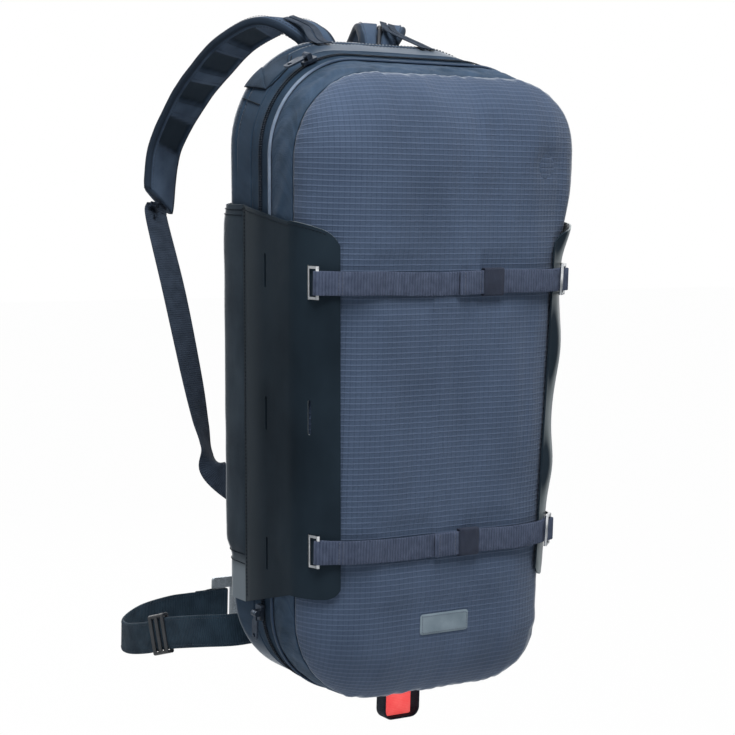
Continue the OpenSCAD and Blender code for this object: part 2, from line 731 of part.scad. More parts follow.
loop_y = gusset_y - 12;
loop_t = 2;
loop_top = base_z - clear;
module bottom_loop() {
    r = 8;
    top = loop_top;
    low = top - loop_drop;
    arc = [for (i = [0:6]) let (a = 180 + 15 * i) [r - loop_w / 2, low + r] + r * [cos(a), sin(a)]];
    half = concat([[-loop_w / 2, top - 4]], arc);
    line = concat(half, reversed([for (q = half) [-q[0], q[1]]]));
    color(charcoal) {
        translate([0, loop_y, 0]) along_y(loop_web) polygon(strip(line, loop_t));
        for (s = [-1, 1]) translate([s * (loop_w / 2 + 3) - 5, loop_y - loop_web / 2, top - 5])
            cube([10, loop_web, 5]);
    }
}
module bottom_loop_patch() {
    patch_h = loop_drop - loop_t - 6;
    color([0.94, 0.28, 0.28])
        translate([0, loop_y, loop_top - loop_drop + loop_t / 2 + clear + patch_h / 2])
            along_y(loop_t) polygon(rounded_box(loop_w - loop_t - 8, patch_h, 1.5));
}

// Back and frame

back_pad_h = pack_h - back_pad_top - back_pad_foot;
back_pad_z = base_z + back_pad_foot + back_pad_h / 2;
module back_panel() {
    channel_w = back_pad_w * 0.62;
    channel_h = 16;
    color(padding) difference() {
        translate([0, rear_y / 2 + seam_gap / 2, back_pad_z]) along_y(back_pad_t - seam_gap)
            polygon(rounded_box(back_pad_w, back_pad_h, 40));
        for (z = [-0.36, -0.18, 0.18, 0.36])
            translate([0, 0, back_pad_z + z * back_pad_h]) along_y(2 * channel_depth)
                polygon(rounded_box(channel_w, channel_h, 7.9));
    }
}
module lumbar_pad() {
    z = back_pad_z - back_pad_h / 2 - 6 - lumbar_h / 2;
    color(padding) translate([0, rear_y / 2 + seam_gap / 2, z]) along_y(back_pad_t - seam_gap)
        polygon(rounded_box(lumbar_w, lumbar_h, 16));
}
sheet_y = rear_y - fabric_t - clear;
module frame_sheet() {
    color([0.85, 0.85, 0.82]) translate([0, sheet_y - sheet_t / 2, back_pad_z]) along_y(sheet_t)
        polygon(rounded_box(back_pad_w, back_pad_h, 40));
}
stay_x = 36;
stay_y = sheet_y - sheet_t - clear;
module frame_stays() {
    color(steel) for (s = [-1, 1]) translate([s * stay_x, stay_y - stay_t / 2, back_pad_z])
        along_y(stay_t) polygon(rounded_box(stay_w, stay_len, stay_w / 2 - 0.1));
}

// Inflation system

clamp_t = 3;
cart_y = stay_y - stay_t - clear - clamp_t - clear - cartridge_d / 2;
cart_z = base_z + cartridge_at;
shoulder = cartridge_d * 0.36;
module gas_cartridge() {
    r = cartridge_d / 2;
    foot = 8;
    color(steel) translate([cartridge_x, cart_y, cart_z]) rotate_extrude() polygon(concat(
        [[0, 0], [r - foot, 0]],
        [for (i = [1:5]) [r - foot, foot] + foot * [sin(18 * i), -cos(18 * i)]],
        [for (i = [0:5]) let (a = 15 * i)
            [r - (r - neck_d / 2) * (1 - cos(a)), cartridge_len - shoulder + shoulder * sin(a)]],
        [[neck_d / 2, cartridge_len], [neck_d / 2, cartridge_len + neck_len], [0, cartridge_len + neck_len]]
    ));
}
clamp_h = 22;
module cartridge_clamp() {
    bore = cartridge_d + 2 * clear;
    color("dimgray") translate([cartridge_x, cart_y, cart_z + cartridge_len / 2]) difference() {
        union() {
            cylinder(d = bore + 2 * clamp_t, h = clamp_h, center = true);
            translate([-bore / 2 - clamp_t, 0, -clamp_h / 2])
                cube([bore / 2 + clamp_t, bore / 2 + clamp_t, clamp_h]);
        }
        cylinder(d = bore, h = clamp_h + 2, center = true);
    }
}
unit_z = cart_z + cartridge_len + clear;
hose_z = unit_z + unit_h / 2;
spigot = 10;
lever_z = unit_z + unit_h + 12;
lever_t = 5;
module inflation_unit() {
    ear_t = 3;
    color("gainsboro") translate([cartridge_x, cart_y, 0]) difference() {
        union() {
            translate([0, 0, unit_z]) cylinder(d = unit_d, h = unit_h);
            translate([0, 0, hose_z]) rotate([0, 90, 0])
                cylinder(d = hose_d - 2 * hose_wall, h = unit_d + 2 * spigot, center = true);
            for (s = [-1, 1]) translate([-5, s * (lever_t / 2 + clear + ear_t / 2) - ear_t / 2, unit_z + unit_h - 1])
                cube([10, ear_t, lever_z - unit_z - unit_h + 6]);
        }
        translate([0, 0, unit_z - 1]) cylinder(d = neck_d + 2 * clear, h = neck_len + 1 + clear);
        translate([0, 0, lever_z]) rotate([90, 0, 0])
            cylinder(d = lever_pin_d, h = unit_d, center = true);
    }
}
module lever_pin() {
    color(steel) translate([cartridge_x, cart_y, lever_z]) rotate([90, 0, 0])
        cylinder(d = lever_pin_d - 0.04, h = lever_t + 2 * clear + 8, center = true);
}
module release_lever() {
    bore = lever_pin_d + 0.1;
    color("firebrick") translate([cartridge_x, cart_y, lever_z]) difference() {
        union() {
            rotate([90, 0, 0]) cylinder(d = bore + 5, h = lever_t, center = true);
            along_y(lever_t) polygon([[0, -3.4], [0, 3.4], [-lever_len, 2.4], [-lever_len, -2.4]]);
            along_y(lever_t) translate([lever_len * 0.28, 0]) polygon(rounded_box(lever_len * 0.56, 10, 2));
        }
        rotate([90, 0, 0]) cylinder(d = bore, h = lever_t + 1, center = true);
    }
}

port_z = hose_z;
port_d = hose_d - 2 * hose_wall + 2;
port_y = rear_y - rear_edge_r - port_d / 2 - 2;
port_reach = 24;
port_flange = port_d + 8;
function port_inner(z) = half_w(z) - fabric_t - port_reach / 2;
module airbag_port(dir) {
    x = half_w(port_z);
    lip = x - fabric_t - port_flange / 2 * tan(side_lean) - 2 * clear;
    color("gainsboro") translate([0, port_y, port_z]) rotate([0, dir * 90, 0]) {
        translate([0, 0, port_inner(port_z)]) cylinder(d = port_d - 2, h = x - port_inner(port_z));
        translate([0, 0, lip - 6]) cylinder(d = port_d, h = x - lip + 6);
        translate([0, 0, lip - 2]) cylinder(d = port_flange, h = 2);
    }
}
module airbag_port_left() airbag_port(-1);
module airbag_port_right() airbag_port(1);

hose_sides = 10;
hose_bore = (hose_d - 2 * hose_wall + 2 * clear) / cos(180 / hose_sides);
function hose_rings(path) =
    let (
        side = alike(path, [0, 0, 1]),
        outer = sweep_rings(path, side, alike(path, circle_points(hose_d, hose_sides))),
        bore = sweep_rings(path, side, alike(path, circle_points(hose_bore, hose_sides)))
    ) concat(outer, reversed(bore));
// A hose slides over the unit's spigot and over the port's tail, and runs straight there
hose_lap = 4;
hose_n = 10;
module hose(dir) {
    from = cartridge_x + dir * (unit_d / 2 + clear);
    to = dir * (port_inner(port_z) + hose_lap);
    straight = (spigot + 2) / abs(to - from);
    path = [for (i = [0:hose_n]) let (s = i / hose_n, bend = ease((s - straight) / (1 - 2 * straight)))
        [from + (to - from) * s, cart_y + (port_y - cart_y) * bend, hose_z]];
    color("darkslategray") loft(hose_rings(path), looped = true);
}
module hose_left() hose(-1);
module hose_right() hose(1);

// Shoulder straps, drawn for the left and mirrored

strap_steps = 3;
strap_points = [
    [-strap_x, rear_y + strap_t / 2 + clear, back_top_z - 62],
    [-strap_x, rear_y + strap_t / 2 + clear, back_top_z - 44],
    [-strap_x - 3, rear_y + strap_t / 2 + 2, back_top_z - 22],
    [-strap_x - 13, rear_y + 20, back_top_z + 1],
    [-strap_x - 32, rear_y + 48, back_top_z + 11],
    [-strap_x - 48, rear_y + 91, back_top_z - 5],
    [-strap_x - 53.5, rear_y + 132, back_top_z - 30],
    [-strap_x - 58, rear_y + 169, back_top_z - 59],
    [-strap_x - 67, rear_y + 200, back_top_z - 106],
    [-strap_x - 74, rear_y + 198, back_top_z - 156]
];
strap_sides = [
    [1, 0, 0], [1, 0, 0], [1, 0, 0], [1, 0.02, 0], [1, 0.06, 0],
    [1, 0.12, 0], [1, 0.2, 0], [0.95, 0.32, 0], [0.9, 0.44, 0], [0.88, 0.48, 0]
];
strap_widths = [
    strap_root_w, strap_root_w, strap_root_w + 3, (strap_root_w + strap_w) / 2, strap_w,
    strap_w, strap_w, strap_w, (strap_w + strap_end_w) / 2 + 1, strap_end_w
];
strap_path = curve(strap_points, strap_steps);
strap_side = curve(strap_sides, strap_steps);
strap_width = curve(strap_widths, strap_steps);
strap_last = len(strap_path) - 1;
groove_w = cable_d + 6 * clear;
groove_d = cable_d + 4 * clear;
function soft(c) = sign(c) * pow(abs(c), 0.6);
function pad_section(w, t) =
    [for (i = [0:11]) [w / 2 * soft(cos(30 * i)), t / 2 * soft(sin(30 * i))]];
function grooved_section(w, t) = concat(
    [for (i = [0:8]) pad_section(w, t)[i]],
    [[-groove_w / 2, -t / 2], [-groove_w / 2, groove_d - t / 2], [groove_w / 2, groove_d - t / 2], [groove_w / 2, -t / 2]],
    [for (i = [10:11]) pad_section(w, t)[i]]
);
// Windows recessed into the side of the strap that lies on the wearer
window_starts = [13, 16, 19, 22];
module strap_windows(path, side) {
    for (i = window_starts) {
        inset = 7;
        slant = 5;
        lift = strap_t / 2 - window_depth;
        rings = [for (j = [i, i + 1, i + 2]) let (w = strap_width[j] / 2 - inset, t = heading(path, j))
            [for (s = [[w, 0], [w, 2 * window_depth], [-w, 2 * window_depth], [-w, 0]])
                on_path(path, side, j, [s[0], s[1] + lift]) + t * s[0] / w * slant]];
        loft(rings);
    }
}
module shoulder_strap_left() {
    sections = [for (i = [0:strap_last]) pad_section(strap_width[i], strap_t)];
    color(padding) difference() {
        loft(sweep_rings(strap_path, strap_side, sections));
        strap_windows(strap_path, strap_side);
    }
}
right_path = mirrored(strap_path);
right_side = [for (w = strap_side) [w[0], -w[1], -w[2]]];
module shoulder_strap_right() {
    sections = [for (i = [0:strap_last]) grooved_section(strap_width[i], strap_t)];
    color(padding) difference() {
        loft(sweep_rings(right_path, right_side, sections));
        strap_windows(right_path, right_side);
    }
}

strap_end = strap_path[strap_last];
web_drop_z = base_z + 161;
module strap_webbing(left) {
    t = heading(strap_path, strap_last);
    start = strap_end + t * 6 * clear;
    points = [
        start, start + t * 8, start + t * 16 - [2, 4, 0],
        [start[0] - 7, start[1] - 50, web_drop_z + 175], [start[0] - 11, start[1] - 97, web_drop_z + 98],
        [start[0] - 13, start[1] - 120, web_drop_z + 58], [start[0] - 15, start[1] - 136, web_drop_z + 36],
        [start[0] - 16, start[1] - 156, web_drop_z + 17],
        [-back_pad_w / 2 - 16, rear_y + 12, web_drop_z + 2], [-back_pad_w / 2 - 5, rear_y + 2 * clear + web_t, web_drop_z]
    ];
    sides = [
        [0.88, 0.48, 0], [0.94, 0.32, 0], [0.99, 0.15, 0], [1, 0.05, 0], [0.97, 0.26, 0], [0.85, 0.55, 0.05],
        [0.55, 0.8, 0.25], [0.25, 0.5, 0.8], [0, 0, 1], [0, 0, 1]
    ];
    path = curve(points, 2);
    color(slate) mirror([left ? 0 : 1, 0, 0])
        loft(sweep_rings(path, curve(sides, 2), alike(path, band(strap_web_w, web_t))));
}
module strap_webbing_left() strap_webbing(true);
module strap_webbing_right() strap_webbing(false);

// Height of the pack's top over a point near its upper corner k
function top_over(k, x, y) =
    let (r = radii(y, 0)[k], c = corner_centre(corners(y, 0), k, r), d = max(0, abs(x) - abs(c[0])))
    c[1] + sqrt(r * r - d * d);
lifter_from = 4 * strap_steps - 1;
module load_lifter(left) {
    t = 1.2;
    start = on_path(strap_path, strap_side, lifter_from, [-6, -strap_t / 2 - 6 * clear - t / 2]);
    next = on_path(strap_path, strap_side, lifter_from - 2, [-10, -strap_t / 2 - 7]);
    end = [-strap_x - 31, rear_y - rear_edge_r + 2, 0];
    foot = [end[0], end[1] - 14, 0];
    corner = left ? top_left : top_right;
    rest = [for (q = [end, foot]) [q[0], q[1], top_over(corner, q[0], q[1]) + t / 2 + 5 * clear]];
    path = curve([start, next, rest[0], rest[1]], 3);
    color(slate) mirror([left ? 0 : 1, 0, 0])
        loft(sweep_rings(path, alike(path, [-1, 0, -0.1]), alike(path, band(lifter_w, t))));
}
module load_lifter_left() load_lifter(true);
module load_lifter_right() load_lifter(false);

// Trigger on the right strap's outer side, with its cable in the strap's groove

cable_exit = [strap_x, rear_y - fabric_t / 2, back_top_z - 83];
grommet_d = cable_d + 12;
module cable_grommet() {
    lip = 0.8;
    color("dimgray") translate(cable_exit) rotate([90, 0, 0]) difference() {
        union() {
            cylinder(d = grommet_d, h = fabric_t + 2 * clear + 2 * lip, center = true);
            for (s = [-1, 1]) translate([0, 0, s * (fabric_t / 2 + clear + lip / 2)])
                cylinder(d = grommet_d + 4, h = lip, center = true);
        }
        cylinder(d = grommet_d - 3, h = 4 * fabric_t, center = true);
    }
}
socket_at = strap_last - 6;
trigger_off = strap_t / 2 + clear + grip_d / 2 + 2;
socket_len = 38;
socket_wall = 2.5;
stem_in = socket_len - 7;
module on_trigger() {
    at_path(right_path, right_side, socket_at) translate([0, -trigger_off, 0]) children();
}
module trigger_socket() {
    outer = stem_d + 2 * clear + 2 * socket_wall;
    color("black") on_trigger() difference() {
        union() {
            cylinder(d = outer, h = socket_len);
            translate([-outer / 2, 0, 0]) cube([outer, trigger_off - strap_t / 2 - 2.2 * clear, socket_len]);
        }
        translate([0, 0, 6]) cylinder(d = stem_d + 2 * clear, h = socket_len);
        translate([0, 0, -1]) cylinder(d = cable_d + 2 * clear, h = socket_len);
    }
}
// The handle is a cross bar on a stem, pulled down along the strap
module trigger_handle() {
    r = grip_d / 2;
    half = grip_len / 2;
    dome = r * 0.6;
    profile = concat(
        [[0, 0], [r - 1.2, 0], [r - 1.2, half * 0.5]],
        [for (i = [0:5]) let (a = 18 * i) [r * cos(a), half - dome + dome * sin(a)]]
    );
    color("crimson") on_trigger() {
        translate([0, 0, socket_len + clear - stem_in]) cylinder(d = stem_d, h = stem_in + r);
        translate([0, 0, socket_len + clear + r]) for (s = [-1, 1])
            rotate([0, s * 90, 0]) rotate_extrude() polygon(profile);
    }
}
function socket_mouth(z) =
    right_path[socket_at] - facing(right_path, right_side, socket_at) * trigger_off
        + heading(right_path, socket_at) * z;
module pull_cable() {
    lie = cable_d / 2 + clear - strap_t / 2;
    lever_tip = [cartridge_x - lever_len - cable_d / 2 - 2 * clear, cart_y, lever_z];
    inside = [
        lever_tip, lever_tip + [0, 0, 14], [strap_x + 8, cart_y + 4, cable_exit[2] - 60],
        [strap_x, cart_y + 14, cable_exit[2] - 26], [strap_x, rear_y - 10, cable_exit[2] - 10],
        [strap_x, rear_y + 1, cable_exit[2] + 1], [strap_x, rear_y + 4, cable_exit[2] + 12]
    ];
    groove = [for (i = [1:2:socket_at - 4]) on_path(right_path, right_side, i, [0, lie])];
    out = [socket_mouth(-22) + [0, -5, 0], socket_mouth(-8), socket_mouth(5)];
    path = curve(concat(inside, groove, out), 2);
    color("black") loft(sweep_rings(path, alike(path, [1, 0.1, 0.05]), alike(path, circle_points(cable_d, 8))));
}

// Hip belt, closed in front of the wearer as it is worn

belt_z = base_z + 38;
belt_front_z = base_z + 2;
belt_points = [
    [-62, rear_y + belt_t / 2 + clear, belt_z + 2], [-76, rear_y + belt_t / 2 + clear, belt_z + 1],
    [-90, rear_y + belt_t / 2 + 3 * clear, belt_z + 1], [-110, rear_y + 12, belt_z - 2], [-128, 26, belt_z - 7],
    [-137, 60, belt_z - 15], [-140, 85, belt_z - 22], [-143, 110, belt_z - 31],
    [-144, 148, belt_z - 40], [-132, 0.82 * belt_loop_d, belt_front_z - 7]
];
// The left belt comes in on the wearer's side of the buckle's bar, turns through the slot and is sewn to itself
bar_end = buckle_x - buckle_w / 2 - buckle_slot;
fold_r = buckle_bar_t / 2 + clear + belt_t / 2;
fold_x = bar_end - 2 * clear;
belt_in_y = belt_loop_d - fold_r;
belt_out_y = belt_loop_d + fold_r;
sewn_y = belt_in_y + belt_t + clear;
bar_foot = bar_end - buckle_bar;
left_belt_path = concat(
    curve(concat(belt_points, [
        [-102, 0.92 * belt_loop_d - 1, belt_front_z - 2], [-66, belt_in_y - 3, belt_front_z],
        [bar_foot - 32, belt_in_y, belt_front_z], [bar_foot - 18, belt_in_y, belt_front_z]
    ]), 3),
    [for (a = [0:22.5:180]) [fold_x + fold_r * sin(a), belt_loop_d - fold_r * cos(a), belt_front_z]],
    [[bar_foot - 1, belt_out_y, belt_front_z], [bar_foot - 4, belt_out_y - 0.8, belt_front_z]],
    [[bar_foot - 8, sewn_y + 0.4, belt_front_z], [bar_foot - 11, sewn_y, belt_front_z]],
    [[bar_foot - 19, sewn_y, belt_front_z]]
);
// The right one ends in the tongue
right_belt_path = curve(concat(mirrored(belt_points), [
    [106, belt_loop_d - 15, belt_front_z - 2], [buckle_x + 56, belt_loop_d - 5.5, belt_front_z],
    [buckle_x + 43, belt_loop_d - 0.6, belt_front_z], [buckle_x + 32, belt_loop_d, belt_front_z],
    [buckle_x + buckle_w / 2 + 4, belt_loop_d, belt_front_z]
]), 3);
module hip_belt(path) {
    color([0.13, 0.19, 0.23]) loft(sweep_rings(path, alike(path, [0, 0, 1]), alike(path, band(belt_w, belt_t))));
}
module hip_belt_left() hip_belt(left_belt_path);
module hip_belt_right() hip_belt(right_belt_path);

triglide_at = 18;
module belt_triglide() {
    room = [belt_w + 2, belt_t + 1.4];
    rim = 3;
    bar = 5;
    window = (triglide_len - 3 * bar) / 2;
    color(steel) at_path(left_belt_path, alike(left_belt_path, [0, 0, 1]), triglide_at)
        translate([0, 0, -triglide_len / 2]) difference() {
            linear_extrude(triglide_len) difference() {
                polygon(rounded_box(room[0] + 2 * rim, room[1] + 3, 2));
                square(room, center = true);
            }
            for (z = [bar, 2 * bar + window])
                translate([-room[0] / 2, -room[1], z]) cube([room[0], 2 * room[1], window]);
        }
}

buckle_h = belt_w + 2 * buckle_lip;
tongue_t = 2.4;
tongue_h = belt_w - 4;
tail_block = 9;
button_travel = 1.6;
module on_buckle() {
    translate([buckle_x, belt_loop_d, belt_front_z]) children();
}
// Hollow metal housing with a slotted plate: the belt is folded round the bar, the tongue enters opposite
module belt_buckle_frame() {
    cavity = tongue_t + 2 * clear;
    plate = buckle_bar + buckle_slot + 4;
    color(steel) on_buckle() difference() {
        rotate([90, 0, 0]) union() {
            linear_extrude(buckle_t, center = true) polygon(rounded_box(buckle_w, buckle_h, 5));
            linear_extrude(buckle_bar_t, center = true) translate([4 - (buckle_w + plate) / 2, 0])
                polygon(rounded_box(plate, buckle_h, 3));
        }
        translate([-buckle_w / 2 - buckle_slot, -buckle_t, -belt_w / 2 - 1])
            cube([buckle_slot, 2 * buckle_t, belt_w + 2]);
        translate([-buckle_w / 2 + 2, -cavity / 2, -tongue_h / 2 - clear])
            cube([buckle_w + 1, cavity, tongue_h + 2 * clear]);
        rotate([-90, 0, 0]) cylinder(d = button_d + 2 * clear, h = buckle_t);
    }
}
module belt_buckle_tongue() {
    color(steel) on_buckle() difference() {
        union() {
            translate([-buckle_w / 2 + 2 + clear, -tongue_t / 2, -tongue_h / 2])
                cube([buckle_w - 2, tongue_t, tongue_h]);
            translate([buckle_w / 2 + clear, 0, 0]) rotate([90, 0, 0]) linear_extrude(buckle_t, center = true)
                translate([tail_block / 2 + 1, 0]) polygon(rounded_box(tail_block + 2, buckle_h, 3));
        }
        rotate([90, 0, 0]) cylinder(d = button_d + 4, h = buckle_t + 2, center = true);
        translate([buckle_w / 2 + 3, -belt_t / 2 - 2 * clear, -belt_w / 2 - 1])
            cube([tail_block + 4, belt_t + 4 * clear, belt_w + 2]);
    }
}
module belt_buckle_button() {
    seat = tongue_t / 2 + clear;
    color("dimgray") on_buckle() rotate([-90, 0, 0]) translate([0, 0, button_travel - seat])
        cylinder(d = button_d, h = buckle_t / 2 + seat);
}

main_body();
front_panel();
gusset_band();
gusset_piping();
main_zip_tape();
zip_coil();
top_zip_slider();
top_zip_puller();
bottom_zip_slider();
bottom_zip_puller();
corner_tabs();
side_wing_left();
side_wing_right();
airbag_cover_left();
airbag_cover_right();
airbag_left();
airbag_right();
upper_strap();
lower_strap();
strap_hooks();
strap_buckles();
upper_keeper();
lower_keeper();
label_patch();
bottom_loop();
bottom_loop_patch();
back_panel();
lumbar_pad();
frame_sheet();
frame_stays();
gas_cartridge();
cartridge_clamp();
inflation_unit();
release_lever();
lever_pin();
hose_left();
hose_right();
airbag_port_left();
airbag_port_right();
pull_cable();
cable_grommet();
shoulder_strap_left();
shoulder_strap_right();
strap_webbing_left();
strap_webbing_right();
load_lifter_left();
load_lifter_right();
trigger_handle();
trigger_socket();
hip_belt_left();
hip_belt_right();
belt_triglide();
belt_buckle_frame();
belt_buckle_tongue();
belt_buckle_button();
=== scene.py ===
# An avalanche airbag backpack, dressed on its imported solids. Lengths are written in millimetres in
# the pack's own frame, with X across it, Y towards the wearer and Z up, and become metres in the mesh.
import math
import bmesh
import bpy
import numpy as np
from mathutils import Matrix, Vector, noise


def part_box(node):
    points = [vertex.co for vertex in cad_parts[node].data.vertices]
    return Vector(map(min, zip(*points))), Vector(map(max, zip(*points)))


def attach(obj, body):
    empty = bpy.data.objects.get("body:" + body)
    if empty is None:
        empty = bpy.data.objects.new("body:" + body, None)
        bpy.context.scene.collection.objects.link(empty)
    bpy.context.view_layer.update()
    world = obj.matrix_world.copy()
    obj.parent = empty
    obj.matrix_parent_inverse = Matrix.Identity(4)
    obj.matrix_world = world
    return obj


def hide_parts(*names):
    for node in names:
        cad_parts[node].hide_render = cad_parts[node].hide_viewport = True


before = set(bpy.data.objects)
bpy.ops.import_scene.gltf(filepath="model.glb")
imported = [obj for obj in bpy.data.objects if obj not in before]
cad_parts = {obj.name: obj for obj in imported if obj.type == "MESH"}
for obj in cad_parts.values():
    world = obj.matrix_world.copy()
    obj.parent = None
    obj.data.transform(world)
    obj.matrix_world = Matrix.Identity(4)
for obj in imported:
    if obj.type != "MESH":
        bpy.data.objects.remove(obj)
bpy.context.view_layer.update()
scene = bpy.context.scene
scene.view_settings.view_transform = "Standard"


# Studio. The pack hangs in front of a plain white room, seen from its left and from a little above.
# The floor lies well below it, one broad soft lamp hangs above the camera and two weaker ones fill the shade.
def rgb(code):
    """Scene colour of a hex code as it shows on a screen."""
    parts = [int(code[i:i + 2], 16) / 255 for i in (1, 3, 5)]
    return [c / 12.92 if c <= 0.04045 else ((c + 0.055) / 1.055) ** 2.4 for c in parts] + [1.0]


def feed(step, *values, **named):
    """Sets or links a node's inputs, in order or by name with _ for a space, and returns the node."""
    pairs = list(zip(step.inputs, values))
    pairs += [(step.inputs[label.replace("_", " ")], value) for label, value in named.items()]
    for socket, value in pairs:
        if isinstance(value, bpy.types.NodeSocket):
            step.id_data.links.new(value, socket)
        else:
            socket.default_value = value
    return step


def sum_of(tree, operation, *values):
    """Socket of a Math node over sockets or numbers."""
    step = tree.nodes.new("ShaderNodeMath")
    step.operation = operation
    return feed(step, *values).outputs[0]


def mix_shown(tree, share, hidden, shown, end):
    """Ends a tree in one shader, with another one laid over it by share."""
    mix = feed(tree.nodes.new("ShaderNodeMixShader"), share, hidden.outputs[0], shown.outputs[0])
    feed(tree.nodes[end], Surface=mix.outputs[0])


def place_camera(turn, tilt, roll, reach, target, lens):
    """Camera that looks at target from reach metres off, turned, tilted down and rolled by degrees."""
    turn, tilt, roll = (math.radians(a) for a in (turn, tilt, roll))
    ahead = Vector((math.sin(turn) * math.cos(tilt), math.cos(turn) * math.cos(tilt), -math.sin(tilt)))
    right = Vector((math.cos(turn), -math.sin(turn), 0))
    up = right.cross(ahead)
    x = right * math.cos(roll) + up * math.sin(roll)
    y = up * math.cos(roll) - right * math.sin(roll)
    camera = bpy.data.objects.new("photo_camera", bpy.data.cameras.new("photo_camera"))
    camera.data.sensor_width = 36
    camera.data.lens = lens
    camera.data.clip_end = 50
    axes = Matrix((x, y, -ahead)).transposed().to_4x4()
    camera.matrix_world = Matrix.Translation(Vector(target) - ahead * reach) @ axes
    scene.collection.objects.link(camera)
    scene.camera = camera


def soft_lamp(name, place, aim, size, watts):
    lamp = bpy.data.objects.new(name, bpy.data.lights.new(name, "AREA"))
    lamp.data.size = size
    lamp.data.energy = watts
    lamp.location = place
    lamp.rotation_euler = (Vector(aim) - Vector(place)).to_track_quat("-Z", "Y").to_euler()
    scene.collection.objects.link(lamp)


place_camera(32.926, 6.472, 1.492, 1.789236, (0.029856, 0, -0.018752), 93.13)
soft_lamp("key_lamp", (-0.42, -1.05, 1.95), (0, -0.1, 0.2), 1.3, 55)
soft_lamp("fill_lamp", (-2.2, -1.2, 1.0), (0, 0, 0), 1.8, 2)
soft_lamp("rear_lamp", (0.4, 2.4, 1.0), (0, 0, 0), 2.0, 34)

room = bpy.data.worlds.new("white_room")
scene.world = room
room.use_nodes = True
tree = room.node_tree
rays = tree.nodes.new("ShaderNodeLightPath").outputs
mix_shown(tree, sum_of(tree, "MAXIMUM", rays["Is Camera Ray"], rays["Is Glossy Ray"]),
          feed(tree.nodes["Background"], Color=(0.82, 0.92, 1.0, 1), Strength=0.18),
          feed(tree.nodes.new("ShaderNodeBackground"), Color=(1, 1, 1, 1)), "World Output")

floor_z, floor_half = -0.75, 9
floor_mesh = bpy.data.meshes.new("pale_floor")
floor_corners = [(x * floor_half, y * floor_half, floor_z) for x, y in ((-1, -1), (1, -1), (1, 1), (-1, 1))]
floor_mesh.from_pydata(floor_corners, [], [(0, 1, 2, 3)])
floor = bpy.data.objects.new("pale_floor", floor_mesh)
scene.collection.objects.link(floor)
pale = bpy.data.materials.new("pale_floor")
pale.use_nodes = True
tree = pale.node_tree
rays = tree.nodes.new("ShaderNodeLightPath").outputs
mix_shown(tree, sum_of(tree, "MULTIPLY", rays["Is Camera Ray"], 0.985),
          feed(tree.nodes["Principled BSDF"], Base_Color=(0.85, 0.85, 0.85, 1), Roughness=0.9),
          tree.nodes.new("ShaderNodeEmission"), "Material Output")
floor_mesh.materials.append(pale)


# Main body. The rear half of the pack is a tub of coated navy nylon over thin foam, turned round a soft
# edge towards the wearer. It is sewn from a top, two sides and a back, with a stitched seam along the top.
rear_y, zip_y, seam_y, front_y = -12, -66, -134, -178  # depth of the back, zip, front seam and front
base_z, top_z = -291, 286
half_wide, lean = 131.5, math.radians(1.7)  # half the width at mid height, and the lean of the sides
edge_r = 25  # the turn of the rear edge
rim_wide, rim_deep = 62, 44  # the rounded rim of the front


def unit(v):
    return v / np.linalg.norm(v)


def smooth(low, high, x):
    t = np.clip((np.asarray(x, float) - low) / (high - low), 0, 1)
    return t * t * (3 - 2 * t)


def wall_x(z):
    return half_wide + z * math.tan(lean)


def pack_corners(y, inset=0.0):
    """Centre, radius, first angle and swing of the outline's corners at depth y, from the left foot on."""
    share = min(max((rear_y - y) / (rear_y - seam_y), 0), 1)
    low, high = base_z + inset, top_z - 36 * share - inset
    left, right = ([s * (wall_x(z) - inset / math.cos(lean)) for z in (low, high)] for s in (-1, 1))
    corner = np.array([(left[0], low), (right[0], low), (right[1], high), (left[1], high)])
    found = []
    for k, r in enumerate((80, 65, 83 - 23 * share, 98 - 23 * share)):
        r = max(12, r - inset)
        u, v = unit(corner[k - 1] - corner[k]), unit(corner[(k + 1) % 4] - corner[k])
        half = math.acos(u @ v) / 2
        centre = corner[k] + unit(u + v) * r / math.sin(half)
        start, stop = corner[k] + u * r / math.tan(half) - centre, corner[k] + v * r / math.tan(half) - centre
        first = math.atan2(start[1], start[0])
        found.append((centre, r, first, (math.atan2(stop[1], stop[0]) - first) % (2 * math.pi)))
    return found


def pack_ring(y, inset=0.0, arc=18, side=30, end=14):
    """Points of the pack's outline at depth y, drawn in by inset. The load fills it out to the right."""
    arcs = []
    for centre, r, first, swing in pack_corners(y, inset):
        turn = first + swing * np.linspace(0, 1, arc + 1)
        arcs.append(centre + r * np.stack([np.cos(turn), np.sin(turn)], 1))
    points = []
    for k in range(4):
        t = np.linspace(0, 1, (side if k % 2 else end) + 1)[1:-1, None]
        points += [arcs[k], arcs[k][-1] * (1 - t) + arcs[(k + 1) % 4][0] * t]
    flat = np.concatenate(points)
    filled = smooth(126, 191, flat[:, 1]) + smooth(-217, -282, flat[:, 1])
    to_front = np.clip((zip_y - y) / (zip_y - seam_y), 0, 1)
    flat[:, 0] += 9 * smooth(0, half_wide, flat[:, 0]) * to_front * filled
    return np.stack([flat[:, 0], np.full(len(flat), y), flat[:, 1]], 1)


def pack_point(y, z, side):
    """Point of the outline at depth y and height z on one side, -1 or 1."""
    ring = pack_ring(y, 0, 60, 60, 8)
    half = ring[ring[:, 0] * side > 0]
    half = half[np.argsort(half[:, 2])]
    i = min(max(np.searchsorted(half[:, 2], z), 1), len(half) - 1)
    t = (z - half[i - 1, 2]) / max(half[i, 2] - half[i - 1, 2], 1e-6)
    return half[i - 1] * (1 - t) + half[i] * t


def ripple(points, size, seed):
    """Smooth noise from -1 to 1 at points in mm."""
    shift = Vector((seed, 0.7 * seed, 0))
    values = [noise.noise(Vector(p) / size + shift) for p in points.reshape(-1, 3)]
    return np.array(values).reshape(points.shape[:-1])


